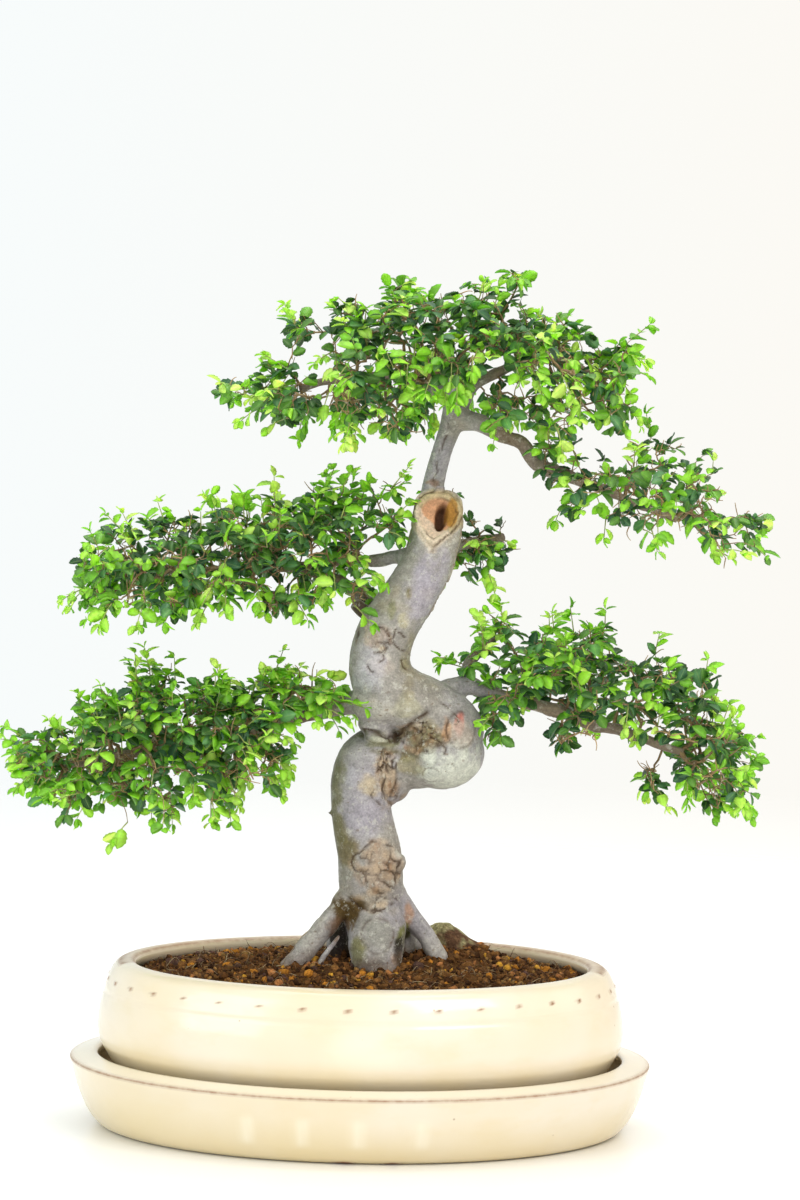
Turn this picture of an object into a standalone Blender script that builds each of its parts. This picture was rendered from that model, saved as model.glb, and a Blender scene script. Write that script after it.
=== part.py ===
"""A bonsai elm in an oval glazed pot that stands in its drip tray, in metres with +Z up.

The origin is the middle of the tray's flat underside. +X is the viewer's right and -Y is the front.
"""

import math

import bmesh
import bpy
from mathutils import Matrix, Vector

# Ovals: every wall is an oval whose half-width is this much less than its half-length
LENGTH_OVER_WIDTH = 0.046
WALL_FROM = 0.150  # half-length inside which floors and the soil shrink in proportion
OVAL_SEGMENTS = 48

# Gaps
TOUCH_GAP = 0.0003
WOOD_GAP = 0.0005  # round the wood, whose faces are larger

# Drip tray
TRAY_BASE = 0.179
TRAY_RIM = 0.205
TRAY_RIM_INNER = 0.185
TRAY_HEIGHT = 0.0515
TRAY_WALL = 0.009
TRAY_FLOOR = 0.009

# Pot
POT_BELLY = 0.186
POT_BELLY_HEIGHT = 0.070
POT_MOUTH = 0.159
POT_HEIGHT = 0.1167
POT_WALL = 0.008
POT_UNDERSIDE = 0.0165
POT_FLOOR = 0.0245
FOOT_BOTTOM = TRAY_FLOOR + TOUCH_GAP
FOOT_OUTER = 0.159
FOOT_WIDTH = 0.010
FOOT_NOTCH = 0.070  # length of each gap that divides the foot ring into four feet
DRAIN_HOLE_RADIUS = 0.010
DRAIN_HOLE_OFFSET = 0.062
SCREEN_SIDE = 0.034
SCREEN_THICKNESS = 0.0015
SCREEN_OPENINGS = 3
SCREEN_BAR = 0.003

# Soil
SOIL_EDGE = 0.1598
SOIL_EDGE_HEIGHT = 0.1075
SOIL_TOP_HEIGHT = 0.1195

# Stone beside the right root
STONE_CENTRE = Vector((0.068, 0.036, 0.124))
STONE_RADII = Vector((0.021, 0.015, 0.017))

# Wood: (x, y, z, radius) along each stem, from its thick end to its tip
TRUNK = [
    (0.004, 0.000, 0.088, 0.030),
    (0.006, -0.002, 0.114, 0.027),
    (0.006, 0.000, 0.141, 0.0235),
    (0.0056, 0.001, 0.169, 0.0228),
    (0.0037, 0.003, 0.193, 0.0228),
    (-0.0026, 0.005, 0.223, 0.0212),
    (-0.0024, 0.006, 0.249, 0.0215),
    (0.007, 0.006, 0.262, 0.021),
    (0.027, 0.003, 0.264, 0.021),
    (0.047, -0.001, 0.269, 0.0255),
    (0.058, -0.004, 0.283, 0.0245),
    (0.044, -0.006, 0.298, 0.021),
    (0.0265, -0.007, 0.3045, 0.0222),
    (0.013, -0.007, 0.314, 0.0228),
    (0.0085, -0.007, 0.332, 0.0217),
    (0.0136, -0.007, 0.3525, 0.0206),
    (0.0265, -0.006, 0.3745, 0.019),
    (0.038, -0.005, 0.395, 0.018),
    (0.0445, -0.004, 0.416, 0.0168),
    (0.047, -0.004, 0.437, 0.0165),
    (0.0465, -0.004, 0.447, 0.0155),
]
ROOTS = [
    [  # left, standing clear of the soil
        (0.000, -0.002, 0.176, 0.010),
        (-0.011, -0.005, 0.161, 0.0085),
        (-0.023, -0.008, 0.147, 0.0084),
        (-0.036, -0.011, 0.131, 0.009),
        (-0.047, -0.013, 0.116, 0.0075),
        (-0.066, -0.014, 0.098, 0.006),
        (-0.098, -0.012, 0.086, 0.004),
    ],
    [  # right
        (0.014, 0.000, 0.174, 0.010),
        (0.026, 0.001, 0.161, 0.0075),
        (0.037, 0.001, 0.145, 0.0077),
        (0.049, 0.001, 0.129, 0.007),
        (0.062, -0.003, 0.108, 0.0065),
        (0.094, -0.012, 0.088, 0.004),
    ],
    [  # knobbly front foot
        (0.008, -0.004, 0.158, 0.017),
        (0.011, -0.012, 0.138, 0.0185),
        (0.012, -0.020, 0.116, 0.016),
        (0.014, -0.044, 0.094, 0.007),
        (0.018, -0.070, 0.084, 0.004),
    ],
    [  # back
        (0.004, 0.008, 0.156, 0.013),
        (-0.002, 0.022, 0.134, 0.011),
        (-0.006, 0.034, 0.114, 0.009),
        (-0.010, 0.062, 0.090, 0.005),
        (-0.012, 0.084, 0.082, 0.004),
    ],
]
LEADER = [
    (0.040, 0.004, 0.426, 0.0095),
    (0.042, 0.008, 0.443, 0.0085),
    (0.0445, 0.009, 0.460, 0.0077),
    (0.0495, 0.009, 0.480, 0.0074),
    (0.056, 0.008, 0.5026, 0.0076),
    (0.0545, 0.005, 0.528, 0.0045),
    (0.050, 0.002, 0.556, 0.003),
]
LIMBS = {
    "apex": [
        [(0.056, 0.008, 0.502, 0.006), (0.078, 0.004, 0.5255, 0.005), (0.104, -0.004, 0.535, 0.004),
         (0.136, -0.012, 0.534, 0.003)],
        [(0.0545, 0.005, 0.520, 0.0045), (0.018, -0.004, 0.528, 0.004), (-0.024, -0.010, 0.524, 0.0032),
         (-0.052, -0.012, 0.517, 0.0026)],
        [(0.055, 0.006, 0.512, 0.005), (0.050, 0.030, 0.530, 0.004), (0.044, 0.052, 0.542, 0.003)],
    ],
    "upper_right": [
        [(0.057, 0.008, 0.503, 0.0065), (0.082, 0.004, 0.494, 0.0058), (0.100, 0.000, 0.485, 0.0053),
         (0.118, -0.004, 0.470, 0.0049), (0.160, -0.008, 0.455, 0.0035), (0.214, -0.010, 0.434, 0.0026)],
    ],
    "middle_left": [
        [(0.036, -0.002, 0.400, 0.007), (0.021, 0.006, 0.404, 0.0052), (0.004, 0.012, 0.400, 0.0044),
         (-0.026, 0.014, 0.394, 0.0038), (-0.078, 0.010, 0.396, 0.0031), (-0.146, 0.004, 0.388, 0.0025)],
        [(0.012, 0.002, 0.366, 0.007), (-0.004, 0.016, 0.371, 0.0055), (-0.022, 0.034, 0.384, 0.004),
         (-0.058, 0.044, 0.394, 0.0028)],
    ],
    "middle_back": [
        [(0.042, 0.000, 0.408, 0.008), (0.056, 0.020, 0.410, 0.0055), (0.074, 0.040, 0.413, 0.004),
         (0.094, 0.052, 0.416, 0.003)],
    ],
    "lower_left": [
        [(0.006, 0.000, 0.304, 0.009), (-0.015, 0.014, 0.296, 0.0062), (-0.048, 0.016, 0.288, 0.005),
         (-0.095, 0.010, 0.275, 0.004), (-0.158, 0.000, 0.261, 0.0031), (-0.218, -0.006, 0.251, 0.0025)],
    ],
    "lower_right": [
        [(0.050, 0.000, 0.303, 0.009), (0.068, 0.006, 0.314, 0.006), (0.094, 0.008, 0.306, 0.0051),
         (0.126, 0.008, 0.298, 0.0049), (0.176, 0.004, 0.284, 0.004), (0.222, -0.002, 0.270, 0.003)],
        [(0.067, 0.006, 0.313, 0.005), (0.074, 0.016, 0.332, 0.004), (0.088, 0.026, 0.345, 0.003)],
    ],
}
TUBE_SIDES_RESOLUTION = 3
WOOD_VOXEL = 0.0016
WOOD_KEEP = 0.030  # share of the wood's faces left once it is simplified

# Leaf pads: centre, half-sizes along, across and up, droop to the right in degrees, and number of lumps
PADS = {
    "apex": ((0.051, 0.000, 0.546), (0.133, 0.084, 0.051), 3.0, 13),
    "upper_right": ((0.196, -0.006, 0.449), (0.090, 0.064, 0.028), 18.0, 9),
    "middle_left": ((-0.084, 0.006, 0.406), (0.118, 0.074, 0.040), -4.0, 12),
    "middle_back": ((0.082, 0.054, 0.417), (0.044, 0.036, 0.024), 0.0, 6),
    "lower_left": ((-0.132, -0.002, 0.271), (0.124, 0.078, 0.035), -10.0, 12),
    "lower_right": ((0.172, 0.004, 0.307), (0.113, 0.074, 0.029), 15.0, 12),
}
LUMP_SIZE = 0.40  # a lump's half-length as a share of its pad's
LUMP_HEIGHT = 0.62  # a lump's half-height as a share of its pad's
PAD_VOXEL = 0.010
PAD_KEEP = 0.34
GOLDEN_ANGLE = math.radians(137.5)

# Openings cut with straight tools run this far past the surface
CUT_PAST = 0.004


def clear_scene():
    for obj in list(bpy.data.objects):
        bpy.data.objects.remove(obj, do_unlink=True)


def make_collection(name, hidden=False):
    collection = bpy.data.collections.new(name)
    bpy.context.scene.collection.children.link(collection)
    collection.hide_render = hidden
    return collection


def make_material(name, colour, roughness):
    material = bpy.data.materials.new(name)
    material.use_nodes = True
    shader = material.node_tree.nodes["Principled BSDF"]
    shader.inputs["Base Color"].default_value = (*colour, 1.0)
    shader.inputs["Roughness"].default_value = roughness
    shader.inputs["Metallic"].default_value = 0.0
    return material


def add_object(name, mesh, collection):
    obj = bpy.data.objects.new(name, mesh)
    collection.objects.link(obj)
    if collection.hide_render:
        obj.hide_render = True
        obj.display_type = "WIRE"
    return obj


def finish_part(obj, material, smooth=True):
    obj.data.materials.clear()
    obj.data.materials.append(material)
    if smooth:
        obj.data.shade_smooth()
        obj.data.set_sharp_from_angle(angle=math.radians(40))
    return obj


def mesh_of(bm, name):
    bmesh.ops.recalc_face_normals(bm, faces=bm.faces)
    mesh = bpy.data.meshes.new(name)
    bm.to_mesh(mesh)
    bm.free()
    return mesh


def evaluated_mesh(obj, name):
    """A new mesh of the object with its modifiers applied."""
    graph = bpy.context.evaluated_depsgraph_get()
    graph.update()
    return bpy.data.meshes.new_from_object(obj.evaluated_get(graph), depsgraph=graph)


def cut(obj, cutter):
    modifier = obj.modifiers.new("cut " + cutter.name, "BOOLEAN")
    modifier.operation = "DIFFERENCE"
    modifier.solver = "EXACT"
    modifier.object = cutter


# Ovals


def half_width(half_length):
    """Walls stay equally thick all round; inside WALL_FROM the oval shrinks in proportion."""
    if half_length >= WALL_FROM:
        return half_length - LENGTH_OVER_WIDTH
    return half_length * (WALL_FROM - LENGTH_OVER_WIDTH) / WALL_FROM


def loft_ovals(name, profile, collection):
    """A closed solid through ovals, each a (half-length, height), with flat faces at both ends."""
    bm = bmesh.new()
    rings = []
    for half_length, height in profile:
        across = half_width(half_length)
        ring = []
        for step in range(OVAL_SEGMENTS):
            angle = 2 * math.pi * step / OVAL_SEGMENTS
            ring.append(bm.verts.new((half_length * math.cos(angle), across * math.sin(angle), height)))
        rings.append(ring)
    for lower, upper in zip(rings, rings[1:]):
        for step in range(OVAL_SEGMENTS):
            after = (step + 1) % OVAL_SEGMENTS
            bm.faces.new((lower[step], lower[after], upper[after], upper[step]))
    bm.faces.new(list(reversed(rings[0])))
    bm.faces.new(rings[-1])
    return add_object(name, mesh_of(bm, name), collection)


def add_box(name, low, high, collection):
    low, high = Vector(low), Vector(high)
    bm = bmesh.new()
    bmesh.ops.create_cube(bm, size=1.0)
    bmesh.ops.scale(bm, vec=high - low, verts=bm.verts)
    bmesh.ops.translate(bm, vec=(low + high) / 2, verts=bm.verts)
    return add_object(name, mesh_of(bm, name), collection)


def pot_inner_profile(gap=0.0):
    """The pot's inside from its mouth down to its floor, or that much further in."""
    return [
        (0.1610 - gap, 0.1075),
        (0.1690 - gap, 0.1020),
        (0.1745 - gap, 0.091),
        (POT_BELLY - POT_WALL - gap, POT_BELLY_HEIGHT),
        (0.1715 - gap, 0.050),
        (0.1625 - gap, 0.034),
        (0.1525 - gap, POT_FLOOR + gap),
    ]


def make_tray(collection):
    """A bowed wall whose rim turns inwards as a broad ledge."""
    profile = [
        (TRAY_BASE, 0.0),
        (TRAY_BASE + 0.007, 0.0035),
        (TRAY_BASE + 0.014, 0.013),
        (TRAY_BASE + 0.020, 0.026),
        (TRAY_RIM - 0.002, 0.038),
        (TRAY_RIM, 0.0465),
        (TRAY_RIM - 0.0012, 0.0487),
        (TRAY_RIM_INNER + 0.003, TRAY_HEIGHT),
        (TRAY_RIM_INNER, TRAY_HEIGHT - 0.002),
        (TRAY_RIM_INNER + 0.001, TRAY_HEIGHT - 0.006),
        (TRAY_RIM - TRAY_WALL - 0.002, 0.0400),
        (TRAY_BASE + 0.020 - TRAY_WALL, 0.028),
        (TRAY_BASE + 0.013 - TRAY_WALL, 0.016),
        (TRAY_BASE + 0.003 - TRAY_WALL, TRAY_FLOOR),
    ]
    return loft_ovals("drip_tray", profile, collection)


def make_pot(collection, cutters):
    """The shell with its foot ring, the notches between the feet and the two drain holes."""
    profile = [
        (FOOT_OUTER - FOOT_WIDTH - 0.001, POT_UNDERSIDE),
        (FOOT_OUTER - FOOT_WIDTH, FOOT_BOTTOM),
        (FOOT_OUTER, FOOT_BOTTOM),
        (FOOT_OUTER + 0.001, POT_UNDERSIDE),
        (0.1655, 0.027),
        (0.1715, 0.0375),
        (0.1795, 0.051),
        (0.1845, 0.061),
        (POT_BELLY, POT_BELLY_HEIGHT),
        (0.1845, 0.083),
        (0.1812, 0.099),
        (0.1758, 0.1115),
        (0.1710, 0.1152),
        (POT_MOUTH + 0.0065, POT_HEIGHT),
        (POT_MOUTH + 0.0020, 0.1156),
        (POT_MOUTH, 0.1125),
    ]
    pot = loft_ovals("pot", profile + pot_inner_profile(), collection)
    reach = POT_BELLY
    notch_low, notch_high = FOOT_BOTTOM - CUT_PAST, POT_UNDERSIDE
    half = FOOT_NOTCH / 2
    across = add_box("foot notch across", (-half, -reach, notch_low), (half, reach, notch_high), cutters)
    half = FOOT_NOTCH / 3
    along = add_box("foot notch along", (-reach, -half, notch_low), (reach, half, notch_high), cutters)
    cut(pot, across)
    cut(pot, along)
    for side in (-1, 1):
        bm = bmesh.new()
        bmesh.ops.create_cone(
            bm, cap_ends=True, segments=20, radius1=DRAIN_HOLE_RADIUS, radius2=DRAIN_HOLE_RADIUS,
            depth=POT_FLOOR - POT_UNDERSIDE + 2 * CUT_PAST,
        )
        middle = (side * DRAIN_HOLE_OFFSET, 0.0, (POT_FLOOR + POT_UNDERSIDE) / 2)
        bmesh.ops.translate(bm, vec=middle, verts=bm.verts)
        cut(pot, add_object("drain hole", mesh_of(bm, "drain hole"), cutters))
    return pot


def screen_box(side, grow):
    middle = Vector((side * DRAIN_HOLE_OFFSET, 0.0, POT_FLOOR + TOUCH_GAP + SCREEN_THICKNESS / 2))
    half = Vector((SCREEN_SIDE / 2 + grow, SCREEN_SIDE / 2 + grow, SCREEN_THICKNESS / 2 + grow))
    return middle - half, middle + half


def make_screen(name, side, collection, cutters):
    """A square plastic mesh over one drain hole."""
    low, high = screen_box(side, 0.0)
    screen = add_box(name, low, high, collection)
    pitch = (SCREEN_SIDE - SCREEN_BAR) / SCREEN_OPENINGS
    for row in range(SCREEN_OPENINGS):
        for column in range(SCREEN_OPENINGS):
            corner = low + Vector((SCREEN_BAR + column * pitch, SCREEN_BAR + row * pitch, -CUT_PAST))
            opposite = corner + Vector((pitch - SCREEN_BAR, pitch - SCREEN_BAR, 3 * CUT_PAST))
            cut(screen, add_box("screen opening", corner, opposite, cutters))
    return screen


def make_soil(collection):
    """Fills the pot below its mouth and rises to a low mound round the trunk."""
    inner = [point for point in pot_inner_profile(TOUCH_GAP) if point[1] < SOIL_EDGE_HEIGHT]
    rise = SOIL_TOP_HEIGHT - SOIL_EDGE_HEIGHT
    mound = []
    for half_length in (SOIL_EDGE, 0.130, 0.095, 0.055):
        share = half_length / SOIL_EDGE
        mound.append((half_length, SOIL_EDGE_HEIGHT + rise * (1 - share**1.6)))
    return loft_ovals("soil", list(reversed(inner)) + mound, collection)


def make_stone(name, grow, collection):
    """A rounded stone: a low icosphere with its top flattened a little to one side."""
    bm = bmesh.new()
    bmesh.ops.create_icosphere(bm, subdivisions=2, radius=1.0)
    for vert in bm.verts:
        direction = vert.co.copy()
        bump = 1 + 0.07 * math.sin(3 * direction.x + 1) * math.cos(4 * direction.y) - 0.05 * direction.x
        radii = Vector((r * bump + grow for r in STONE_RADII))
        vert.co = STONE_CENTRE + direction * radii
    return add_object(name, mesh_of(bm, name), collection)


# Wood


def make_tube(name, points, collection):
    """A round stem through (x, y, z, radius) points, as a closed mesh."""
    curve = bpy.data.curves.new(name, "CURVE")
    curve.dimensions = "3D"
    curve.bevel_depth = 1.0
    curve.bevel_resolution = TUBE_SIDES_RESOLUTION
    curve.resolution_u = 5
    curve.use_fill_caps = True
    spline = curve.splines.new("BEZIER")
    spline.bezier_points.add(len(points) - 1)
    for point, (x, y, z, radius) in zip(spline.bezier_points, points):
        point.co = (x, y, z)
        point.radius = radius
        point.handle_left_type = point.handle_right_type = "AUTO"
    stem = add_object(name, curve, collection)
    mesh = evaluated_mesh(stem, name)
    bpy.data.objects.remove(stem, do_unlink=True)
    return mesh


def make_wood(collection, cutters):
    """Trunk, roots and limbs grown into one skin, then simplified."""
    stems = [TRUNK, LEADER] + ROOTS + [limb for limbs in LIMBS.values() for limb in limbs]
    bm = bmesh.new()
    for stem in stems:
        bm.from_mesh(make_tube("stem", stem, cutters))
    bmesh.ops.remove_doubles(bm, verts=bm.verts, dist=0.00001)
    wood = add_object("wood", mesh_of(bm, "wood"), cutters)
    skin = wood.modifiers.new("one skin", "REMESH")
    skin.mode = "VOXEL"
    skin.voxel_size = WOOD_VOXEL
    smooth = wood.modifiers.new("smooth", "SMOOTH")
    smooth.factor = 0.5
    smooth.iterations = 2
    fewer = wood.modifiers.new("fewer faces", "DECIMATE")
    fewer.ratio = WOOD_KEEP
    wood.data = evaluated_mesh(wood, "wood")
    wood.modifiers.clear()
    tree = add_object("trunk_and_limbs", wood.data.copy(), collection)
    grow = wood.modifiers.new("gap", "DISPLACE")
    grow.strength = WOOD_GAP
    grow.mid_level = 0.0
    return tree, wood


# Leaf pads


def make_pad(name, centre, half_sizes, droop, lumps, collection, cutters):
    """Flattened lumps laid out like sunflower seeds over an oval, low at its edge, grown into one skin."""
    bm = bmesh.new()
    for number in range(lumps):
        out = math.sqrt((number + 0.5) / lumps)
        angle = number * GOLDEN_ANGLE
        middle = Vector((
            (1 - LUMP_SIZE) * out * math.cos(angle),
            (1 - LUMP_SIZE) * out * math.sin(angle),
            0.42 * (1 - 1.7 * out**2) + 0.12 * math.sin(5 * angle),
        ))
        size = 1 + 0.12 * math.sin(3 * angle + lumps)
        radii = Vector((LUMP_SIZE, LUMP_SIZE * 1.15, LUMP_HEIGHT)) * size
        for vert in bmesh.ops.create_icosphere(bm, subdivisions=2, radius=1.0)["verts"]:
            vert.co = vert.co * radii + middle
    for axis, half_size in enumerate(half_sizes):
        reached = [vert.co[axis] for vert in bm.verts]
        low, high = min(reached), max(reached)
        for vert in bm.verts:
            vert.co[axis] = half_size * (2 * (vert.co[axis] - low) / (high - low) - 1)
    tilt = Matrix.Rotation(math.radians(droop), 4, "Y")
    bmesh.ops.transform(bm, matrix=Matrix.Translation(centre) @ tilt, verts=bm.verts)
    lumpy = add_object(name + " lumps", mesh_of(bm, name), cutters)
    skin = lumpy.modifiers.new("one skin", "REMESH")
    skin.mode = "VOXEL"
    skin.voxel_size = PAD_VOXEL
    fewer = lumpy.modifiers.new("fewer faces", "DECIMATE")
    fewer.ratio = PAD_KEEP
    pad = add_object(name, evaluated_mesh(lumpy, name), collection)
    bpy.data.objects.remove(lumpy, do_unlink=True)
    return pad


def main():
    clear_scene()
    parts = make_collection("bonsai tree in pot")
    cutters = make_collection("cutters", hidden=True)

    glaze = make_material("cream glaze", (0.82, 0.76, 0.55), 0.25)
    plastic = make_material("screen plastic", (0.03, 0.03, 0.03), 0.6)
    earth = make_material("soil", (0.07, 0.032, 0.016), 0.95)
    mossy = make_material("mossy stone", (0.10, 0.075, 0.045), 0.9)
    bark = make_material("bark", (0.42, 0.38, 0.35), 0.8)
    leaf = make_material("leaf", (0.07, 0.22, 0.03), 0.45)

    finish_part(make_tray(parts), glaze)
    finish_part(make_pot(parts, cutters), glaze)
    for name, side in (("drain_screen_left", -1), ("drain_screen_right", 1)):
        finish_part(make_screen(name, side, parts, cutters), plastic, smooth=False)

    tree, wood_cutter = make_wood(parts, cutters)
    finish_part(tree, bark)

    stone = make_stone("mossy_stone", 0.0, parts)
    finish_part(stone, mossy)
    cut(stone, wood_cutter)

    soil = finish_part(make_soil(parts), earth)
    cut(soil, wood_cutter)
    cut(soil, make_stone("stone with gap", TOUCH_GAP, cutters))
    for side in (-1, 1):
        cut(soil, add_box("screen with gap", *screen_box(side, TOUCH_GAP), cutters))

    for place, (centre, half_sizes, droop, lumps) in PADS.items():
        pad = make_pad("leaves_" + place, centre, half_sizes, droop, lumps, parts, cutters)
        finish_part(pad, leaf)
        cut(pad, wood_cutter)


main()
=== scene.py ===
import math

import bpy
import numpy as np
from mathutils import Matrix, Vector


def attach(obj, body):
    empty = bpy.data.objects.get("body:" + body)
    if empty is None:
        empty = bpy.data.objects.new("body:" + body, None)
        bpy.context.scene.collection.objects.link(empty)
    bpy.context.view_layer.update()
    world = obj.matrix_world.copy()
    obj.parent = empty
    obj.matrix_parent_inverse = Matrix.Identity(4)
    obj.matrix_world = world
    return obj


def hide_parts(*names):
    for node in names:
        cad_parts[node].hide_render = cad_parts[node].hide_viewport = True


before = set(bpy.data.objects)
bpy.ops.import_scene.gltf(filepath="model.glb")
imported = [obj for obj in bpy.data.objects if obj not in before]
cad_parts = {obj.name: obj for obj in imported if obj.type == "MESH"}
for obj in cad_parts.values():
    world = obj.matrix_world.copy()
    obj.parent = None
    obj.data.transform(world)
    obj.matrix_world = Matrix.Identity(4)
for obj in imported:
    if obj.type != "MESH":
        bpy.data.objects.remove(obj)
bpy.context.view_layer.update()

scene = bpy.context.scene
tau = 2 * math.pi
mm = 0.001


def latticeNumber(ix, iy, iz, seed):  # from 0 to 1, fixed for each whole-number point, by mixing its bits
    mixed = (ix * 73856093) ^ (iy * 19349663) ^ (iz * 83492791) ^ (seed * 2654435761)
    mixed = (mixed ^ (mixed >> 13)) * 1274126177 & 0xFFFFFFFF
    mixed = (mixed ^ (mixed >> 15)) * 2246822519 & 0xFFFFFFFF
    return ((mixed ^ (mixed >> 16)) & 0xFFFFFF) / 0xFFFFFF


def softNoise(points, size, seed=0):  # from -1 to 1: eight lattice numbers blended by smooth weights
    scaled = points / size
    cell = np.floor(scaled).astype(np.int64)
    part = scaled - cell
    part = part * part * (3 - 2 * part)
    total = 0
    for dx in (0, 1):
        for dy in (0, 1):
            for dz in (0, 1):
                weight = (
                    np.abs(1 - dx - part[:, 0]) * np.abs(1 - dy - part[:, 1]) * np.abs(1 - dz - part[:, 2])
                )
                x, y, z = cell.T
                total = total + weight * latticeNumber(x + dx, y + dy, z + dz, seed)
    return 2 * total - 1


def roughNoise(points, size, octaves=3, seed=0):  # soft noise plus finer, weaker copies of it
    return sum(softNoise(points, size / 2**k, seed + 17 * k) / 2**k for k in range(octaves)) / 1.6


def cells(points, size, seed=0):  # distances to the two nearest scattered points, and the nearest's number
    scaled = points / size
    home = np.floor(scaled).astype(np.int64)
    near = np.full(len(points), 9.0)
    second = near.copy()
    number = np.zeros(len(points))
    for offset in np.ndindex(3, 3, 3):
        at = home + np.array(offset) - 1
        spot = at + np.stack([latticeNumber(*at.T, seed + k) for k in range(3)], 1)
        away = np.linalg.norm(spot - scaled, axis=1)
        closer = away < near
        second = np.where(closer, near, np.minimum(second, away))
        number = np.where(closer, latticeNumber(*at.T, seed + 7), number)
        near = np.where(closer, away, near)
    return near, second, number


def stepUp(low, high, value):  # 0 below low, 1 above high, smooth between
    part = np.clip((value - low) / (high - low), 0, 1)
    return part * part * (3 - 2 * part)


def unit(vectors):  # each vector divided by its own length
    return vectors / np.maximum(np.linalg.norm(vectors, axis=-1, keepdims=True), 1e-12)


def painted(base, amount, colour):  # base + (colour - base) * amount
    amount = amount[:, None]
    return base * (1 - amount) + colour * amount


def gridQuads(rows, around):  # faces between neighbouring rings of a grid that closes on itself
    k, j = np.meshgrid(np.arange(rows), np.arange(around), indexing="ij")
    here, after = k * around + j, k * around + (j + 1) % around
    return np.stack([here, here + around, after + around, after], -1).reshape(-1, 4)


def smoothPath(points, count):  # cubics whose slope at a point is half the step between its neighbours
    p = np.array(points, float)
    padded = np.vstack([2 * p[0] - p[1], p, 2 * p[-1] - p[-2]])
    reached = np.concatenate([[0], np.cumsum(np.linalg.norm(np.diff(p[:, :3], axis=0), axis=1))])
    at = np.linspace(0, reached[-1], count)
    i = np.clip(np.searchsorted(reached, at, side="right") - 1, 0, len(p) - 2)
    t = ((at - reached[i]) / (reached[i + 1] - reached[i]))[:, None]
    a, b, c, d = padded[i], padded[i + 1], padded[i + 2], padded[i + 3]
    return 0.5 * (2 * b + (c - a) * t + (2 * a - 5 * b + 4 * c - d) * t**2 + (3 * b - a - 3 * c + d) * t**3)


def tubes(paths, sides):  # rings round each path at its radius, and a point that closes each end
    centre, radius = paths[..., :3], paths[..., 3]
    along = unit(np.gradient(centre, axis=1))
    guide = np.eye(3)[np.abs(along).max(axis=1).argmin(axis=1)][:, None, :]
    across = unit(np.cross(along, guide))
    up = np.cross(across, along)
    angle = np.arange(sides) * tau / sides
    ring = across[:, :, None] * np.cos(angle)[:, None] + up[:, :, None] * np.sin(angle)[:, None]
    rings = centre[:, :, None] + radius[:, :, None, None] * ring
    number, steps = centre.shape[:2]
    verts = np.concatenate([rings.reshape(number, -1, 3), centre[:, :1], centre[:, -1:]], axis=1)
    quads = gridQuads(steps - 1, sides)
    j = np.arange(sides)
    last = (steps - 1) * sides
    starts = np.stack([np.full(sides, steps * sides), j, (j + 1) % sides], 1)
    ends = np.stack([np.full(sides, steps * sides + 1), last + (j + 1) % sides, last + j], 1)
    shift = (np.arange(number) * (steps * sides + 2))[:, None, None]
    return verts.reshape(-1, 3), [
        (quads + shift).reshape(-1, 4), (np.vstack([starts, ends]) + shift).reshape(-1, 3)
    ]


def meshFrom(name, verts, faceGroups, smooth=True):  # puts whole arrays of points and faces into a mesh
    mesh = bpy.data.meshes.new(name)
    corners = np.concatenate([group.reshape(-1) for group in faceGroups]).astype(np.int32)
    counts = np.concatenate([np.full(len(group), group.shape[1]) for group in faceGroups])
    mesh.vertices.add(len(verts))
    mesh.vertices.foreach_set("co", np.ascontiguousarray(verts, np.float32).ravel())
    mesh.loops.add(len(corners))
    mesh.loops.foreach_set("vertex_index", corners)
    mesh.polygons.add(len(counts))
    starts = np.concatenate([[0], np.cumsum(counts)[:-1]]).astype(np.int32)
    mesh.polygons.foreach_set("loop_start", starts)
    mesh.update(calc_edges=True)
    mesh.validate()
    if smooth:
        mesh.shade_smooth()
    return mesh


def joined(parts):  # several (verts, faceGroups) as one
    verts, groups, shift = [], {}, 0
    for points, faces in parts:
        verts.append(points)
        for group in faces:
            groups.setdefault(group.shape[1], []).append(group + shift)
        shift += len(points)
    return np.vstack(verts), [np.vstack(groups[size]) for size in sorted(groups, reverse=True)]


def addPiece(mesh, material, slot, *nodes):  # an object at the origin that rides on the root body
    piece = bpy.data.objects.new(mesh.name, mesh)
    scene.collection.objects.link(piece)
    mesh.materials.append(material)
    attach(piece, "root")
    if nodes:
        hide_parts(*nodes)
    return piece


def addNumbers(mesh, name, values):  # a number or a colour at each point, for the material
    kind = "FLOAT_COLOR" if values.ndim == 2 else "FLOAT"
    layer = mesh.attributes.new(name, kind, "POINT")
    if values.ndim == 2:
        values = np.hstack([values, np.ones((len(values), 1))])
        layer.data.foreach_set("color", values.astype(np.float32).ravel())
    else:
        layer.data.foreach_set("value", values.astype(np.float32))


def pointsOf(mesh, what="vertices", field="co", width=3, kind=np.float32):  # one row for each item
    items = getattr(mesh, what)
    found = np.empty(len(items) * width, kind)
    items.foreach_get(field, found)
    return found.reshape(-1, width).astype(np.float64 if kind == np.float32 else np.int64)


def relaxed(points, edges, rounds, pull=0.5):  # each point moves part of the way to its neighbours' mean
    a, b = edges.T
    count = np.bincount(edges.ravel(), minlength=len(points))[:, None]
    for _ in range(rounds):
        total = np.stack([
            np.bincount(a, points[b, k], len(points)) + np.bincount(b, points[a, k], len(points))
            for k in range(3)
        ], 1)
        points = points + pull * (total / count - points)
    return points


def startMaterial(name, **sockets):  # constants go straight onto the shader's own sockets
    material = bpy.data.materials.new(name)
    material.use_nodes = True
    shader = material.node_tree.nodes["Principled BSDF"]
    for socket, value in sockets.items():
        shader.inputs[socket.replace("_", " ")].default_value = value
    return material, material.node_tree, shader


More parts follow.
